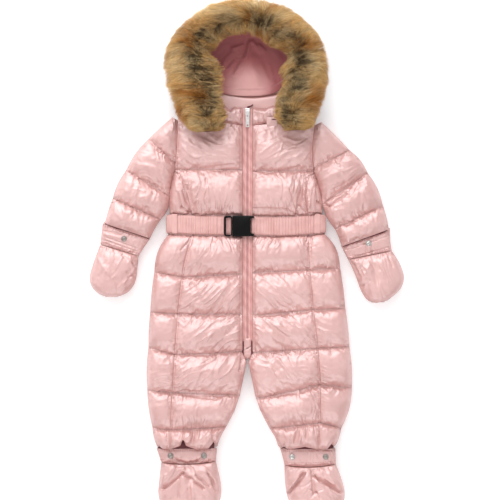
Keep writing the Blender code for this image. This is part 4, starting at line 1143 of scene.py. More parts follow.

# openings where a cuff or hem laps over the band below it, and one at the neck above the zip, with strips of
# near-black lining laid in as painted shade of the deep gap:
# each point of a strip has its place, half width and how far it lies above the cloth beside it
clothBeside = {
    "hemLining": ("bootieBand",), "cuffLining": ("mittenBand", "sleeveFront"), "neckLining": ("collar",),
}
openings = {
    "hemLining_r": (
        (-153, -325, 1.0, 0.6), (-150, -324.5, 2.4, 0.4), (-143, -325.8, 1.0, 1.0), (-130, -325.6, 1.2, 0.8),
        (-120, -323, 4.0, 0.2), (-109, -316, 11.0, -0.2), (-98, -323, 4.0, 0.2), (-86, -325.6, 1.2, 0.8),
        (-68, -325.4, 1.4, 0.8), (-60, -320.5, 6.5, 0.2), (-56.5, -320.5, 6.5, 0.2)),
    "hemLining_l": (
        (57, -326, 1.0, 1.2), (62, -325.4, 1.6, 0.8), (68, -326.2, 0.9, 1.2), (78, -326.2, 1.0, 1.0),
        (97, -324.6, 2.6, 0.4), (118, -326.2, 0.9, 1.0), (134, -325.6, 1.4, 0.8), (143, -322, 5.0, 0.2),
        (147, -323, 3.6, 0.2)),
    "cuffLining_r": (
        (-243, 56.7, 1.1, 1.4), (-236, 54.4, 1.4, 1.3), (-224, 50.5, 2.2, 1.2), (-218, 48.4, 1.2, 1.2),
        (-200, 42.4, 0.8, 1.2), (-184, 37.2, 0.9, 1.2), (-172, 33.2, 1.4, 1.4), (-167.5, 31.8, 2.0, 1.2)),
    "cuffLining_l": (
        (163, 18.5, 1.5, 1.2), (176, 23.2, 1.1, 1.3), (196, 30.6, 1.0, 1.2), (214, 37.2, 1.5, 1.3),
        (228, 42.4, 2.4, 1.4), (238.5, 46.2, 1.6, 1.4)),
    "neckLining_l": (
        (-1, 255.5, 0.6, -3), (2, 255.8, 1.8, -3), (5, 257, 1.0, -3), (8, 258.6, 1.6, -3),
        (10, 259.6, 0.5, -3)),
}


def makeOpening(name, stations):
    place, side = name.split("_")
    near = np.concatenate([front[f"{kind}_{side}"]["cloth"].reshape(-1, 3) for kind in clothBeside[place]])
    run = np.linspace(0, len(stations) - 1, 60)
    table = np.array(stations, float)
    x, y, half, above = (np.interp(run, np.arange(len(stations)), table[:, k]) for k in range(4))
    rings = []
    for k in range(60):
        level = near[np.argsort(np.hypot(near[:, 0] - x[k], near[:, 1] - y[k]))[:6], 2].min() + above[k]
        low, high = y[k] - half[k], y[k] + half[k]
        rings.append([(x[k], low, level - 2.4), (x[k], low, level), (x[k], y[k], level + 0.15),
                      (x[k], high, level), (x[k], high, level - 2.4)])
    points, faces = loftRings(rings)
    # in near-black lining: painted shade of the gap
    addPiece(name, points, faces, "lining", finish=shadowLining)


for name, stations in openings.items():
    makeOpening(name, stations)


# back panels: flat where they lie, quilted, and rounded up to their seams

quilting = {"step": 5.4, "groove": 0.45, "pucker": 1.0, "beltPress": 2.6}


def makeUnder(name, side, sections, rims, node, band=None):
    sections = list(sections)
    middle = np.array([mix2(first, last, 0.5) for first, last, _ in sections])
    run = np.concatenate(([0], np.cumsum(np.linalg.norm(np.diff(middle, axis=0), axis=1))))
    width = max(math.dist(first, last) for first, last, _ in sections)
    columns = max(12, round(width / quilting["step"]))
    bend = np.linspace(0, 1, columns + 1)
    share = 0.5 - 0.5 * np.cos(np.pi * bend) * (0.55 + 0.45 * np.abs(np.cos(np.pi * bend)))
    sign = 1 if side == "l" else -1
    rows = []
    for (first, last, full), far in zip(sections, run):
        long = math.dist(first, last)
        x, y = sign * mix(first[0], last[0], share), mix(first[1], last[1], share)
        radius = suit["underRadius"]
        ends = float(rise(far / radius) * rise((run[-1] - far) / radius))
        flat = edgePuff(share, long, rims, (radius, radius)) * ends
        flat = flat * mix(1 - quilting["groove"], 1, full)
        lift = np.where((y <= band[1]) & (y >= band[0]), quilting["beltPress"], 0.0) if band else 0.0
        level = lift + (suit["underRim"] - lift) * (1 - flat)
        pucker = quilting["pucker"] * (1 - full) * (0.5 + softNoise(x, y, 7, 11))
        rows.append(np.column_stack((x, y, np.clip(level + pucker * flat, lift, suit["underRim"]))))
    points, faces = closeGrid(np.array(rows), backTop)
    addPiece(name, points, faces, "shell", [node], levels=1)


def makeBacks():
    for side in "rl":
        lines = bodyLines[side]
        sections = []
        for upper, lower, share, _ in bodyRows(side, quilting["step"]):
            inner, _, edge = bodyPoints(upper, lower, share)
            y = inner[1]
            if upper.name == "shoulder":
                y = mix(suit["backNeck"], lower.innerY, share)
            if lower.name == "hem":
                y = mix(upper.innerY, suit["backHem"], share)
                edge = (edge[0], mix(upper.edge[1], suit["backHem"], share))
            middle = 0.3 if y > -172 else inner[0]
            sections.append(((middle, y), edge, float(rise(2 * min(share, 1 - share)))))
        band = (lines[3].innerY - 4, lines[2].innerY + 6)
        makeUnder(f"backPanel_{side}", side, sections, (0.7, 0.0), f"back_{side}", band)
        sleeve = [(inner, outer, clamp((full - 0.2) / 0.8))
                  for inner, outer, full, _ in sleeveRows(side, quilting["step"])]
        makeUnder(f"sleeveBack_{side}", side, sleeve, (0.3, 0.0), f"sleeve_back_{side}")
        for kind, stations in (("mitten", mitten), ("bootie", bootie)):
            rows = smoothStations((underStart[kind][side], *stations[side]), 26)
            rows = [(inner, outer, 1.0) for inner, outer, _ in rows]
            makeUnder(f"{kind}Under_{side}", side, rows, (0.0, 0.0), f"{kind}_under_{side}")


makeBacks()
print("back panels are made")


# the hood, seen from above a rounded D, open like a bowl

hood = {
    "middle": (1.0, 330.0), "halfWidth": 82.0, "up": 62.0, "down": 53.0, "roundness": 2.5,
    "rim": 38.1, "neckRim": 12.0, "wall": 8.0, "groove": 0.03, "liningWall": 1.6, "steps": 120,
}


def hoodReach(turn):  # distance from the hood's middle to its edge in a direction
    up = hood["up"] if math.sin(turn) > 0 else hood["down"]
    across = abs(math.cos(turn) / hood["halfWidth"]) ** hood["roundness"]
    along = abs(math.sin(turn) / up) ** hood["roundness"]
    return (across + along) ** (-1 / hood["roundness"])


def hoodRim(turn):  # low at the neck seam, full height all round the face
    return mix(hood["rim"], hood["neckRim"], float(smoothstep((-math.sin(turn) - 0.35) / 0.45)))


# reach as a share of the way out, height as a share of the rim plus millimetres, inset in millimetres
hoodRow = namedtuple("hoodRow", "reach share above inset")
shellRows = [hoodRow(*row) for row in (
    (0.02, 0, 0, 0), (0.3, 0, 0, 0), (0.72, 0, 0, 0), (0.87, 0.1, 0, 0), (0.97, 0.4, 0, 0),
    (1.0, 0.85, 0, 0), (1.0, 1.0, 0, 2.5), (1.0, 0.93, 0, 7), (0.97, 0.5, 2, 8), (0.87, 0.15, 5, 8),
    (0.3, 0, 8, 0), (0.02, 0, 8, 0),
)]
liningRows = [hoodRow(*row) for row in (
    (0.02, 0, 10.2, 0), (0.3, 0, 10.2, 0), (0.6, 0.06, 9, 5), (0.87, 0.15, 7.6, 10), (0.97, 0.5, 4.4, 11),
    (1.0, 0.8, 2.4, 10.4), (1.0, 0.93, 1.6, 10.0),
)]


def hoodPoint(row, turn):
    out = hoodReach(turn) * row.reach - row.inset * min(1, row.reach * 2)
    level = row.share * hoodRim(turn) + row.above
    x, y = hood["middle"][0] + out * math.cos(turn), hood["middle"][1] + out * math.sin(turn)
    return (x, y, level)


def hoodRings(rows, between):  # rings with extra ones set evenly between the rows
    rings = []
    turns = [2 * math.pi * number / hood["steps"] for number in range(hood["steps"])]
    for first, last in zip(rows, rows[1:]):
        for part in range(between):
            row = hoodRow(*[mix(a, b, part / between) for a, b in zip(first, last)])
            rings.append([hoodPoint(row, turn) for turn in turns])
    rings.append([hoodPoint(rows[-1], turn) for turn in turns])
    return np.array(rings)


# soft folds of the lining: where each starts and ends, half width and height
liningFolds = (
    ((-10, 340), (-26, 314), 1.8, -4.5), ((-6, 340), (-22, 312), 2.2, 3.4),
    ((-20, 338), (-38, 318), 2.2, 3.0), ((-16, 346), (-34, 324), 1.7, -3.6),
    ((0, 372), (-8, 344), 2.4, -4.0), ((4, 366), (-2, 340), 2.4, 3.6), ((8, 368), (22, 350), 3.0, 3.4),
    ((14, 352), (40, 334), 3.4, -3.6), ((36, 346), (56, 322), 4.0, -6.0),
    ((-34, 354), (-52, 336), 4.5, -6.0), ((28, 336), (40, 306), 3.0, -3.0),
    ((-30, 306), (-10, 316), 2.0, -1.6), ((-36, 290), (-12, 297), 1.8, -1.8),
    ((2, 338), (16, 300), 9.0, 3.0), ((44, 326), (50, 298), 3.0, -3.4),
    ((-40, 330), (-44, 300), 3.0, 2.4), ((-26, 356), (-8, 362), 2.2, 3.4),
    ((20, 362), (30, 352), 2.0, 3.0),
)


def makeHood():
    rings = hoodRings(shellRows, 3)
    outer = rings[9:18]  # a quilting groove round the outside of the hood
    for ring in (outer[2], outer[5]):
        ring[:, :2] = mix(ring[:, :2], np.array(hood["middle"]), hood["groove"])
    wave = softNoise(rings[..., 0], rings[..., 1], 12, 21) * 0.9
    rings[10:17, :, 0] += wave[10:17]
    points, faces = loftRings(rings)
    shell = addPiece("hoodShell", points, faces, "shell", ["hood_shell"], levels=1)

    rings = hoodRings(liningRows, 6)
    lips = []
    for level, out in ((1.9, 6.0), (2.2, 2.0), (1.8, -0.5), (0.9, -2.2)):  # over the low rim at the neck
        ring = []
        for number in range(hood["steps"]):
            turn = 2 * math.pi * number / hood["steps"]
            neck = float(smoothstep((-math.sin(turn) - 0.4) / 0.3))
            start = rings[-1][number]
            over = hoodPoint(hoodRow(1.0, 1.0, level, out), turn)
            ring.append([mix(a, b, max(neck, 0.03 * (len(lips) + 1))) for a, b in zip(start, over)])
        lips.append(ring)
    rings = np.concatenate((rings, np.array(lips)))
    x, y = rings[..., 0], rings[..., 1]
    folded = lineHeight(x, y, liningFolds) + 0.8 * softNoise(x, y, 13, 31) + 0.4 * softNoise(x, y, 6, 32)
    folded += 4.5 * np.exp(-((x / 34) ** 2) - ((y - 300) / 26) ** 2)
    edge = np.linspace(0, 1, len(rings))[:, None]
    rings[..., 2] += np.maximum(folded, -1.6) * smoothstep((1 - edge) / 0.25)
    neck = np.exp(-((np.arange(hood["steps"]) / hood["steps"] - 0.75) / 0.075) ** 2)
    for turn in range(60):  # one slope from the bowl to the neck, with no step over the rim
        rings[1:-1, :, 2] = mix(rings[1:-1, :, 2], (rings[:-2, :, 2] + rings[2:, :, 2]) / 2, 0.5 * neck)
    under = rings[::-1].copy()
    under[..., 2] -= hood["liningWall"]
    under[..., 2] = np.maximum(under[..., 2], hood["wall"] + 0.2)
    points, faces = loftRings(np.concatenate((rings, under)))
    lining = addPiece("hoodLining", points, faces, "lining", ["hood_lining"])


makeHood()

collarBack = {"left": -84.0, "right": 84.0, "low": 243.4, "top": 13.2}


def makeCollarBack():  # its inner face shows through the neck as a plain strip
    rings = []
    for number in range(57):
        share = number / 56
        x = mix(collarBack["left"], collarBack["right"], share)
        top = collarBack["top"] - 2 * float(rise(2 * min(share, 1 - share)))
        curve = 1 - (abs(x - hood["middle"][0]) / (hood["halfWidth"] + 4)) ** hood["roundness"]
        seam = min(hood["middle"][1] - hood["down"] * curve ** (1 / hood["roundness"]) - 0.5, 288)
        low = collarBack["low"]
        ring = [(x, low, 2), (x, low, top - 0.6)]
        for part in range(9):
            y = mix(low + 0.6, seam - 0.6, part / 8)
            sag = 1.3 * math.sin(math.pi * part / 8) + 0.5 * float(softNoise(x, y, 11, 41))
            # under the lining's edge it dips, most on the wearer's left
            dip = float(smoothstep((x + 26) / 34) * smoothstep((y - seam + 5) / 3.5))
            ring.append((x, y, mix(top, top - 1.5, part / 8) + sag * 0.8 - 7 * dip))
        ring += [(x, seam, top - 2.1 - 7 * dip), (x, seam, 2), (x, 260, 0.2)]
        rings.append(ring)
    points, faces = loftRings(rings)
    piece = addPiece("collarBack", points, faces, "lining", ["collar_back"], finish=paleShell)


makeCollarBack()
print("hood, lining and collar are made")


# the fur: a row for each station from the wearer's right front end over the top to the left, with its
# inner and outer points, the heights its underside has inside and outside the hood's edge, and its crest

furStation = namedtuple("furStation", "inner outer restIn restOut crest")
furStations = [furStation(*row) for row in (
    ((-54, 211), (-82, 209), 47, 47, 74), ((-40, 217), (-102, 215), 44, 44, 84),
    ((-34, 238), (-119, 238), 42, 42, 90), ((-39, 258), (-129, 264), 36, 30, 92),
    ((-41, 278), (-137, 290), 39, 18, 92), ((-41, 300), (-142, 315), 39, 1.2, 91),
    ((-42, 322), (-142, 340), 39, 1.2, 93), ((-59, 342), (-130, 372), 39, 1.2, 92),
    ((-44, 360), (-108, 400), 39, 1.2, 90), ((-24, 371), (-66, 426), 39, 1.2, 88),
    ((-1, 376), (-8, 438.5), 39, 1.2, 86), ((19, 366), (46, 432), 39, 1.2, 88),
    ((40, 354), (86, 412), 39, 1.2, 90), ((66, 336), (120, 378), 39, 1.2, 92),
    ((55, 315), (136, 344), 39, 1.2, 93), ((56, 296), (139, 318), 39, 1.2, 92),
    ((52, 276), (136, 288), 39, 18, 92), ((46, 256), (130, 262), 36, 30, 91),
    ((44, 237), (120, 238), 42, 42, 88), ((56, 218), (110, 219), 44, 44, 82),
    ((66, 212), (96, 213), 47, 47, 72),
)]
fur = {
    "pieces": 3,
    "hairs": 21500,        # in each piece
    "width": 0.46,         # real guard hairs are 0.1 mm, drawn as fine locks so that they show
    "parting": 0.3,        # where the hairs part, as a share of the way from the inner to the outer edge
    "core": 0.64,          # size of the backing under the hairs, as a share of the whole
    "long": 760.0, "round": 130.0,  # length of the ruff and of its outline
    "gold": "#d6aa69", "rust": "#b0722d", "dark": "#332414", "grey": "#ad9a76", "cream": "#e2c794",
    "brown": "#7d5a30",
}
# patches of dyed tone on the ruff: middle, half width, half height
furPatches = {
    "dark": ((-35, 393, 18, 13), (-54, 381, 10, 9), (-74, 366, 14, 10), (-84, 343, 11, 10),
             (-101, 335, 14, 11), (-88, 305, 26, 13), (-62, 287, 13, 11), (-53, 260, 13, 17),
             (-66, 249, 17, 13), (25, 389, 18, 14), (64, 366, 24, 10), (88, 327, 22, 14),
             (80, 294, 18, 17), (61, 246, 9, 30)),
    "rust": ((-108, 366, 16, 16), (-4, 400, 10, 14), (-92, 272, 30, 12), (-115, 234, 13, 14),
             (100, 355, 22, 14), (111, 266, 18, 26), (26, 364, 15, 8), (50, 424, 16, 7), (60, 345, 9, 9)),
    "pale": ((-60, 412, 26, 12), (-128, 325, 11, 18), (90, 285, 14, 13), (5, 424, 22, 8), (55, 400, 19, 14),
             (-95, 322, 14, 10), (112, 318, 14, 18), (-84, 222, 18, 12), (84, 230, 14, 14)),
}
profileShare = np.array((0.0, 0.0, 0.04, 0.17, 0.38, 0.6, 0.82, 0.96, 1.0, 1.0))
profileRise = np.array((0.0, 0.28, 0.55, 0.8, 0.96, 1.0, 0.86, 0.62, 0.34, 0.0))


def furTable():
    keys = np.array([(*s.inner, *s.outer, s.restIn, s.restOut, s.crest) for s in furStations], float)

    def at(share):  # smooth curves through the stations, for an array of shares
        place = np.clip(np.asarray(share), 0, 1) * (len(keys) - 1)
        i = np.minimum(place.astype(int), len(keys) - 2)
        t = (place - i)[:, None]
        rows = [keys[np.clip(i + k, 0, len(keys) - 1)] for k in (-1, 0, 1, 2)]
        return sum(w * row for w, row in zip(curveWeights(t), rows))

    return at


furAt = furTable()
# length along the outline of a section, from its inner foot over the crest to its outer foot
profileRun = np.concatenate(([0], np.cumsum(np.hypot(np.diff(profileShare) * 85, np.diff(profileRise) * 50))))
profileRun /= profileRun[-1]


def furPoint(row, run, size):  # a point of the section: run goes over it, size is from its heart to its skin
    share, up = np.interp(run, profileRun, profileShare), np.interp(run, profileRun, profileRise)
    rest = mix(row[:, 4], row[:, 5], smoothstep((share - 0.3) / 0.35))
    level = mix(rest, row[:, 6], up)
    heart, heartLevel = 0.46, mix(np.maximum(row[:, 4], row[:, 5]), row[:, 6], 0.25)
    share, level = mix(heart, share, size), mix(heartLevel, level, size)
    x, y = mix(row[:, 0], row[:, 2], share), mix(row[:, 1], row[:, 3], share)
    return np.column_stack((x, y, level))


def makeFurCore():
    rings = []
    for number in range(90):
        row = furAt(np.full(20, mix(0.012, 0.988, number / 89)))
        rings.append(furPoint(row, np.linspace(0, 1, 20), fur["core"]))
    points, faces = loftRings(rings)
    core = addPiece("furBacking", points, faces, "fur", ["fur_trim"], finish=backingFinish)


def makeHairs(number, seed):
    chance = np.random.default_rng(seed)
    count = fur["hairs"]
    along = chance.uniform(0, 1, count)
    run = chance.beta(1.3, 1.15, count)
    # each hair leans with its neighbours, then towards the middle of its tuft
    x, y = along * fur["long"], run * fur["round"]
    leanX = 17 * softNoise(x, y, 52, 81) + 11 * softNoise(x, y, 21, 82) + 3.5 * softNoise(x, y, 8, 83)
    leanY = 7 * softNoise(x, y, 30, 84) + 5 * softNoise(x, y, 12, 85)
    for size, pull, cell in ((21.0, 0.12, 91), (8.0, 0.26, 92), (3.4, 0.3, 93)):
        cells = np.random.default_rng(cell).uniform(-0.6, 0.6, (256, 64, 3))
        shift = 0.6 * softNoise(y, x, size * 2, cell + 5) * size
        i, j = ((x + shift) / size).astype(int), ((y + 0.7 * shift) / (size * 1.6)).astype(int)
        jitter = cells[i % 256, j % 64]
        pull = pull * (1 + 0.8 * jitter[:, 2])
        leanX += pull * ((i + 0.5 + jitter[:, 0]) * size - x - shift)
        leanY += pull * 0.7 * ((j + 0.5 + jitter[:, 1]) * size * 1.6 - y - 0.7 * shift)
    tipAlong = np.clip((x + leanX + chance.normal(0, 1.9, count)) / fur["long"], 0, 1)
    tipRun = np.clip((y + leanY + chance.normal(0, 3.2, count)) / fur["round"], 0, 1)
    part = np.interp(fur["parting"], profileShare[1:-1], profileRun[1:-1])
    rootRun = np.clip(part + (run - part) * 0.55 + chance.normal(0, 0.025, count), 0.02, 0.98)
    row, tipRow = furAt(along), furAt(tipAlong)
    root = furPoint(row, rootRun, fur["core"] - 0.06)
    inside = smoothstep((0.3 - run) / 0.2)  # the lip over the lining is the most uneven
    reach = 0.96 + (0.06 + 0.1 * inside) * softNoise(x, y, 13, 86) + chance.normal(0, 0.045, count)
    tip = furPoint(tipRow, tipRun, np.clip(reach, 0.78, 1.09))
    bend = furPoint(row, mix(rootRun, run, 0.4), 0.97)
    steps = np.array((0.0, 0.3, 0.58, 0.82, 1.0))
    spine = [(1 - t) ** 2 * root + 2 * t * (1 - t) * bend + t * t * tip for t in steps]
    spine = np.array(spine) + chance.normal(0, 0.5, (5, count, 3)) * steps[:, None, None]
    spine[..., 2] = np.maximum(spine[..., 2], 1.4)
    direction = tip - root
    direction /= np.maximum(np.linalg.norm(direction, axis=1, keepdims=True), 1e-6)
    other = chance.normal(0, 0.55, (count, 3)) + (0, 0, 1)
    side = np.cross(direction, other)
    side /= np.maximum(np.linalg.norm(side, axis=1, keepdims=True), 1e-6)
    wide = fur["width"] * chance.uniform(0.6, 1.3, count)[:, None] / 2
    points = np.empty((count, 9, 3))
    for k, taper in enumerate((1.0, 1.0, 0.85, 0.55)):
        points[:, 2 * k] = spine[k] - side * wide * taper
        points[:, 2 * k + 1] = spine[k] + side * wide * taper
    points[:, 8] = spine[4]
    start = np.arange(count)[:, None] * 9
    quads = [(start + (2 * k, 2 * k + 1, 2 * k + 3, 2 * k + 2)) for k in range(3)]
    mesh = bpy.data.meshes.new(f"furHairs_{number}")
    faces = np.concatenate(quads).tolist() + (start + (6, 7, 8)).tolist()
    mesh.from_pydata((points.reshape(-1, 3) * mm).tolist(), [], faces)
    mesh.shade_smooth()
    paintHairs(mesh, along, run, tip, chance)
    mesh.materials.append(finishes["fur"])
    piece = bpy.data.objects.new(mesh.name, mesh)
    scene.collection.objects.link(piece)
    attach(piece, "suit")
    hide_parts("fur_trim")


def paintHairs(mesh, along, run, tip, chance):  # tones across the ruff, its dyed patches and each hair's own
    count = len(along)
    keys = ("gold", "rust", "dark", "grey", "cream", "brown")
    tones = {key: np.array(linear(fur[key])[:3]) for key in keys}
    x, y = along * fur["long"], run * fur["round"]
    amount = {}
    wobble = 7 * softNoise(tip[:, 0], tip[:, 1], 12, 50)
    for kind, patches in furPatches.items():
        amount[kind] = np.zeros(count)
        for px, py, wide, high in patches:
            away = ((tip[:, 0] + wobble - px) / wide) ** 2 + ((tip[:, 1] - wobble - py) / high) ** 2
            amount[kind] = np.maximum(amount[kind], np.exp(-0.7 * away ** 1.2))
    calm = 1 - 0.75 * smoothstep((run - 0.5) / 0.3)  # the outer half is an even golden tan
    streak = calm * softNoise(x / 3.2, y / 30, 1.0, 52)   # narrow along the ruff, long across it
    finer = calm * softNoise(x / 1.6, y / 36, 1.0, 59)
    band = np.exp(-(((run - 0.4) / 0.17) ** 2))
    dark = smoothstep((0.85 * amount["dark"] + 0.2 * band + 0.95 * streak + 0.4 * finer - 0.68
                       + chance.normal(0, 0.12, count)) / 0.42)
    pale = amount["pale"] + 0.35 * amount["dark"]
    grey = smoothstep((0.8 * amount["dark"] - 0.8 * streak - 0.3 * finer + 0.2 * amount["pale"] - 0.25) / 0.4)
    rust = np.clip(amount["rust"] + 0.15 + 0.4 * softNoise(x, y, 30, 53)
                   + 0.35 * calm * softNoise(x / 4, y / 30, 1, 54), 0, 1)
    cream = np.clip(0.75 * pale + 0.45 * softNoise(x / 3, y / 30, 1.0, 57)
                    + chance.normal(0, 0.13, count), 0, 0.8)
    edge = smoothstep((run - 0.9) / 0.1) * np.clip(0.35 + softNoise(x, y, 20, 58), 0, 1)
    colour = mix(tones["gold"], tones["rust"], rust[:, None] * (1 - 0.6 * amount["pale"][:, None]))
    colour = mix(colour, tones["cream"], cream[:, None])
    colour = mix(colour, tones["grey"], 0.5 * grey[:, None])
    colour = mix(colour, tones["brown"], 0.65 * edge[:, None])
    # roots darkened: painted shade deep in the pile
    shadedRootColour = mix(colour * 0.4, tones["dark"], 0.4)
    tipColour = mix(colour, tones["dark"], 0.88 * dark[:, None])
    tipColour = tipColour * np.exp(chance.normal(0, 0.2, count))[:, None]
    layer = mesh.color_attributes.new("hairTone", "FLOAT_COLOR", "POINT")
    values = np.ones((count, 9, 4))
    for k, share in enumerate((0.0, 0.3, 0.58, 0.82)):
        values[:, 2 * k, :3] = values[:, 2 * k + 1, :3] = mix(shadedRootColour, tipColour, share ** 1.15)
    values[:, 8, :3] = tipColour * 1.1
    layer.data.foreach_set("color", np.clip(values, 0, 1).ravel())


makeFurCore()
for number in range(fur["pieces"]):
    makeHairs(number + 1, 300 + number)
print("fur is made")


# the zip: two tapes sewn in, a coil of teeth between them, and a stop at the crotch

zipSizes = {
    "half": 8.4, "top": 252.0, "bottom": -143.0, "pitch": 2.2, "toothWidth": 1.5, "toothLength": 3.0,
    "flatWidth": 0.012, "flatLength": 0.397,  # in metres
}


def zipHeight(y):  # lower where the belt cinches the waist and near the crotch
    waist = np.exp(-(((y - 54) / 26) ** 2))
    return 26.0 - 2.4 * waist - 3.0 * smoothstep((-90 - y) / 80) + 2.0 * smoothstep((y - 205) / 30)


def makeZipTapes():
    for side in "rl":
        sign = 1 if side == "l" else -1
        rings = []
        for y in np.linspace(zipSizes["top"], zipSizes["bottom"], 140):
            top = float(zipHeight(y)) + 0.15 * float(softNoise(sign * 9, y, 9, 61))
            outline = ((0.9, top - 1.2), (0.9, top - 0.5), (1.7, top - 0.3), (2.3, top + 0.7),
                       (3.2, top + 1.25), (4.4, top + 1.2), (5.4, top + 0.5), (6.0, top - 0.4),
                       (7.2, top - 0.3), (zipSizes["half"], top), (zipSizes["half"], top - 1.2))
            rings.append([(x * sign, y, z) for x, z in outline])
        points, faces = loftRings(rings)
        tape = addPiece(f"zipTape_{side}", points, faces, "zip", [f"zip_tape_{side}"])


def makeZipTeeth():
    points, faces = [], []
    number = 0
    for y in np.arange(zipSizes["bottom"] + 6, 240, zipSizes["pitch"] / 2):
        side = 1 if number % 2 else -1
        top = float(zipHeight(y)) - 0.1
        start = len(points)
        for ring, (size, level) in enumerate(((1.0, -1.5), (1.0, -0.4), (0.7, 0.15))):
            for ax, ay in ((-1, -1), (1, -1), (1, 1), (-1, 1)):
                points.append((side * 0.35 + ax * zipSizes["toothLength"] / 2 * size * 0.6,
                               y + ay * zipSizes["toothWidth"] / 2 * size * 0.62, top + level))
        for ring in range(2):
            for k in range(4):
                a, b = start + ring * 4 + k, start + ring * 4 + (k + 1) % 4
                faces.append((a, b, b + 4, a + 4))
        faces.append((start, start + 1, start + 2, start + 3))
        faces.append((start + 8, start + 9, start + 10, start + 11))
        number += 1
    addPiece("zipTeeth", points, faces, "zip", smooth=False)


zipPatch = {"top": -138.0, "fold": -155.0, "low": -173.5, "half": 6.3, "above": 1.5, "slant": 3.5}
zipFacing = {"top": -139.0, "low": -171.0, "half": 9.4, "below": 0.6}  # above and below: of the teeth's top


def makeZipPatch():  # a doubled piece of shell sewn over the zip's end, as two boxes
    top, fold, low = (zipPatch[key] for key in ("top", "fold", "low"))
    rings = []
    for y in np.linspace(top, low, 40):
        ends = float(rise((top - y) / 2.5) * rise((y - low) / 4))
        box = (top - y) / (top - fold) if y > fold else (fold - y) / (fold - low)
        full = 0.25 + 0.75 * float(rise(3 * min(box, 1 - box)))
        half = min(zipPatch["half"] * (0.9 + 0.1 * ends), innerX(y) + 0.7)
        level = float(zipHeight(y)) + zipPatch["above"] - 5.5 * float(smoothstep((-162 - y) / 12))
        ring = [(-half, frontFloor), (-half, level - 1.4)]
        for share in np.linspace(-0.94, 0.94, 9):
            ring.append((share * half, level - 1.2 + (1.9 * full * (1 - share ** 4) + 0.1) * mix(0.3, 1, ends)
                         - 2.6 * math.exp(-(((y - fold - zipPatch["slant"] * share) / 1.1) ** 2))
                         + 0.5 * float(softNoise(share * 7, y, 4, 66))))
        ring += [(half, level - 1.4), (half, frontFloor)]
        rings.append([(px, y, pz) for px, pz in ring])
    points, faces = loftRings(rings)
    piece = addPiece("zipPatch", points, faces, "shell")


def makeZipFacing():  # a strip of near-black lining behind the zip's end: painted shade, seen as a dark line at each side of the patch
    rings = []
    for y in np.linspace(zipFacing["top"], zipFacing["low"], 24):
        half = min(zipFacing["half"], innerX(y) + 0.9)
        level = float(zipHeight(y)) - zipFacing["below"] - 6 * float(smoothstep((-160 - y) / 12))
        ring = [(-half, frontFloor), (-half, level - 0.6)]
        for share in np.linspace(-0.9, 0.9, 9):
            ring.append((share * half, level + 0.3 * float(softNoise(share * 7, y, 5, 67))))
        ring += [(half, level - 0.6), (half, frontFloor)]
        rings.append([(px, y, pz) for px, pz in ring])
    points, faces = loftRings(rings)
    addPiece("zipFacing", points, faces, "lining", finish=shadowLining)


makeZipTapes()
makeZipTeeth()
makeZipPatch()
makeZipFacing()


def beltSeat(side, x):
    edge = bodyLines[side][2].edge[0]
    across = np.clip((x - 9) / (edge - 9), 0, 1)
    return suit["layer"] + suit["wall"] + suit["dome"] * (1 - across**2) + 0.1 * suit["bodyLoft"]


def makeBelt(side):
    edge = max(bodyLines[side][2].edge[0], bodyLines[side][3].edge[0])
    start, sign = belt["start"][side], 1 if side == "l" else -1
    chance = np.random.default_rng(70 if side == "r" else 71)
    xs = np.arange(start, edge - 6, 0.8)
    path = [(x, float(beltSeat(side, x)) + 0.8, 0.05, 1.0) for x in xs]
    wrap = ((edge - 1, float(beltSeat(side, edge - 1)), 0.5, 0.85), (edge + 1.9, 16.5, 0.95, 0.3),
            (edge + 2.2, 12.5, 1.0, 0.0), (edge + 1.4, 8.5, 0.95, -0.3), (edge - 1.4, 5.2, 0.7, -0.7),
            (edge - 6.5, 2.9, 0.3, -0.95), (edge - 13, 2.1, 0.0, -1.0))
    last = path[-1]
    for point in wrap:
        for part in (0.33, 0.67, 1.0):
            path.append(tuple(mix(a, b, part) for a, b in zip(last, point)))
        last = point
    gathers, travel = [], start
    while travel < edge + 40:
        gathers.append(travel)
        travel += belt["pitch"] * chance.uniform(0.55, 1.35)
    gathers = np.array(gathers)
    strength = chance.uniform(0.45, 1.0, len(gathers))
    run = start
    rings = []
    for i, (x, level, outX, outZ) in enumerate(path):
        if i:
            run += math.dist(path[i - 1][:2], (x, level))
        under = clamp((i - len(xs)) / (len(path) - 1 - len(xs)))
        middle = float(beltMiddle(side, x)) - 2.5 * under
        k = int(np.searchsorted(gathers, run, "right")) - 1
        k = min(max(k, 0), len(gathers) - 2)
        place = (run - gathers[k]) / (gathers[k + 1] - gathers[k])
        bump = math.sin(math.pi * place) ** 0.8 * strength[k]
        thick = belt["thick"] - 0.2
        half = belt["width"] / 2 - 0.2 + 0.35 * bump
        lean = 0.9 * (strength[k] - 0.7)
        face = []
        for c in np.linspace(-1, 1, belt["across"]):
            shape = (1 - abs(c) ** 6) ** 0.5 if abs(c) < 1 else 0
            lift = belt["rib"] * bump * (0.35 + 0.65 * shape) + 0.25 * shape
            seamLine = 0.35 * math.exp(-(((abs(c) - 0.88) / 0.04) ** 2))
            face.append((c, thick * mix(0.55, 1, shape) + lift - seamLine))
        ring = [(x + outX * out + lean * c, middle + c * half, level + outZ * out) for c, out in face]
        ring += [(x, middle + half - 0.4, level), (x, middle - half + 0.4, level)]
        rings.append([(sign * px, py, pz) for px, py, pz in ring])
    points, faces = loftRings(rings)
    piece = addPiece(f"beltFront_{side}", points, faces, "belt", [f"belt_{side}"])


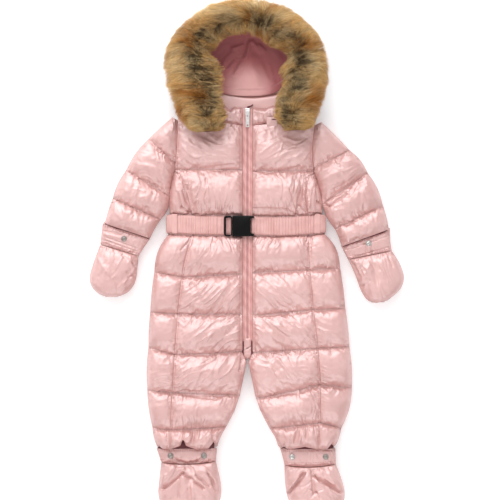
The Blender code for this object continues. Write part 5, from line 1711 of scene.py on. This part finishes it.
def makeBeltBack():
    edges = {side: bodyLines[side][3].edge[0] - 13.4 for side in "rl"}
    rings = []
    middle = belt["backMiddle"]
    low, high = middle - belt["width"] / 2, middle + belt["width"] / 2
    for x in np.arange(-edges["r"], edges["l"], 1.25):
        bump = 0.25 * math.sin(x * 2 * math.pi / belt["pitch"])
        rings.append([(x, low, 0.7), (x, low + 1, 0.35), (x, high - 1, 0.35), (x, high, 0.7),
                      (x, high, 1.5), (x, high - 1, 1.85 + bump), (x, middle, 1.8 + bump),
                      (x, low + 1, 1.85 + bump), (x, low, 1.5)])
    points, faces = loftRings(rings)
    piece = addPiece("beltBack", points, faces, "belt", ["belt_back"])


# the loops: where each lies, its line from top to bottom over the belt, and its section
beltLoop = {
    "places": {"r": 124, "l": 119}, "above": 2.6, "flat": (0.011, 0.034),
    "line": ((73, -0.7), (72.2, -0.3), (71, -0.1), (68, 0), (66, 0), (60, 0.1), (56, 0), (52, 0.1), (47, 0),
             (44, 0), (42, -0.1), (40.8, -0.3), (40, -0.7)),
    "section": ((-4.5, 0), (0, -0.6), (4.5, -1.2), (4.7, -0.4), (4.4, 0.1), (3.4, 0.35), (2.8, 0.2), (0, 0.8),
                (-2.8, 1.2), (-3.4, 1.15), (-4.4, 1.3), (-4.7, 0.7)),
}


def makeBeltLoop(side):
    x, sign = beltLoop["places"][side], 1 if side == "l" else -1
    over = float(beltSeat(side, x - 4)) + belt["thick"] + beltLoop["above"]
    rings = []
    for y, lift in beltLoop["line"]:
        level = over + lift
        rings.append([(sign * (x + dx), y, level - 0.5 + 0.7 * dz) for dx, dz in beltLoop["section"]])
    points, faces = loftRings(rings)
    piece = addPiece(f"beltLoop_{side}", points, faces, "belt", [f"belt_loop_{side}"])


for side in "rl":
    makeBelt(side)
    makeBeltLoop(side)
makeBeltBack()
print("zip and belt are made")


# the fastened side-release buckle: its body, and the frame that the belt's end is sewn round

buckle = {
    "left": -25.6, "low": 35.0, "high": 70.2, "thick": 8.4,
    "frame": (-40, -26), "frameSlot": (-36.4, -27.4, 37.9, 66.6), "frameAbove": 3.6,
}


def roundedBlock(outline, low, high, bevel):  # a flat block with an outline and softly rounded top edges
    outline = np.array(outline, float)
    middle = outline.mean(0)
    inset = outline - middle
    size = np.abs(inset).max(0)
    rings = []
    for level, cut in ((low, bevel * 0.5), (low + bevel * 0.5, 0), (high - bevel, 0),
                       (high - bevel * 0.4, bevel * 0.25), (high, bevel)):
        shrink = (size - cut) / size
        rings.append([(*(middle + p * shrink), level) for p in inset])
    return loftRings(rings)


def cornered(left, right, low, high, radius, steps=5):
    points = []
    for cx, cy, start in ((right - radius, high - radius, 0), (left + radius, high - radius, 90),
                          (left + radius, low + radius, 180), (right - radius, low + radius, 270)):
        for k in range(steps + 1):
            turn = math.radians(start + 90 * k / steps)
            points.append((cx + radius * math.cos(turn), cy + radius * math.sin(turn)))
    return points


def makeBuckle():
    base = float(beltSeat("r", 9)) + 1.0
    left, low, high = (buckle[key] for key in ("left", "low", "high"))
    # the two prongs reach past the belt's end above and below it
    outline = [
        (11.8, 67.2), (11.2, 68.8), (9, 69.8), (4, high), (left + 1.5, high), (left, high - 1.5), (left, 53),
        (left, low + 1.5), (left + 1.5, low), (4, low), (9, 35.6), (11.2, 36.4), (11.8, 37.8), (7.5, 38.6),
        (5.6, 40.2), (5.0, 43), (5.0, 53), (5.0, 62), (5.6, 65), (7.5, 66.6),
    ]
    points, faces = roundedBlock(outline, base, base + buckle["thick"], 1.6)
    body = addPiece("buckleBody", points, faces, "buckle", ["buckle_body"])
    step = body.modifiers.new("softEdges", "BEVEL")
    step.width, step.segments, step.limit_method = 0.0004, 2, "ANGLE"
    outer, inner = cornered(*buckle["frame"], low, high, 4.6, 6), cornered(*buckle["frameSlot"], 1.2, 6)
    level = base + buckle["frameAbove"]
    rings = []
    for share, up in ((0, 0.8), (0, 2.7), (0.16, 3.6), (0.8, 3.6), (1, 2.8), (1, 0.8), (0.8, 0), (0.16, 0)):
        rings.append([(*mix2(o, i, share), level + up) for o, i in zip(outer, inner)])
    points, faces = loftRings(rings, closed=True)
    addPiece("buckleFrame", points, faces, "buckle", ["buckle_frame"])


makeBuckle()

# snaps: pressed caps turned from one profile, each on its band

snap = {"radius": 5.0, "steps": 40, "bright": ("snap_mitten_l", "snap_bootie_l_inner")}
snapSeats = (
    ("snap_mitten_r", -210, 31, 22.9), ("snap_mitten_l", 206, 23, 22.9),
    ("snap_bootie_r_outer", -131, -338, 22.6), ("snap_bootie_r_inner", -74, -338, 22.6),
    ("snap_bootie_l_inner", 76, -340, 22.6), ("snap_bootie_l_outer", 133, -340, 22.6),
)


def makeSnaps():
    radius = snap["radius"]
    profile = ((0.02, 2.5), (radius * 0.3, 2.45), (radius * 0.5, 2.2), (radius * 0.6, 1.75),
               (radius * 0.7, 1.75), (radius * 0.8, 2.05), (radius * 0.9, 1.95), (radius * 0.98, 1.4),
               (radius, 0.9), (radius, 0.3), (radius * 0.94, 0.2), (0.02, 0.2))
    for node, x, y, z in snapSeats:
        rings = []
        for out, level in profile:
            rings.append([(x + out * math.cos(t), y + out * math.sin(t), z + level)
                          for t in np.linspace(0, 2 * math.pi, snap["steps"], endpoint=False)])
        points, faces = loftRings(rings)
        words = node.split("_")
        name = words[0] + "".join(word.capitalize() for word in words[1:])
        # snaps not listed as bright take the darker nickel: painted shade of a dimmer reflection
        dimmed = None if node in snap["bright"] else dimReflectionNickel
        addPiece(name, points, faces, "metal", [node], finish=dimmed)


makeSnaps()

collarTab = {
    "middle": (41.5, 229.5), "size": (18.5, 15.0), "level": 30.2, "thick": 1.6,
    "slot": (7.6, 2.6), "slotMiddle": (45.4, 233.2),
}


def makeCollarTab():  # a flat tab of shell with one bound slot
    x, y = collarTab["middle"]
    across, high = collarTab["size"][0] / 2, collarTab["size"][1] / 2
    outer = cornered(x - across, x + across, y - high, y + high, 1.2, 4)
    sx, sy = collarTab["slotMiddle"]
    wide, tall = collarTab["slot"][0] / 2, collarTab["slot"][1] / 2
    inner = cornered(sx - wide, sx + wide, sy - tall, sy + tall, 1.25, 4)
    level, top = collarTab["level"], collarTab["level"] + collarTab["thick"]
    rings = []
    for share, z in ((0, level), (0, top - 0.5), (0.07, top), (0.75, top + 0.1), (0.85, top + 0.5),
                     (0.95, top + 0.5), (1, top), (1, level)):
        rings.append([(*mix2(o, i, share), z) for o, i in zip(outer, inner)])
    points, faces = loftRings(rings, closed=True)
    piece = addPiece("collarTab", points, faces, "shell", ["collar_tab"])


makeCollarTab()

for node in ("zip_slider", "zip_pull"):
    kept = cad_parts[node]
    for holder in kept.material_slots:
        holder.material = polishedNickel
print("buckle, snaps and slider are made")
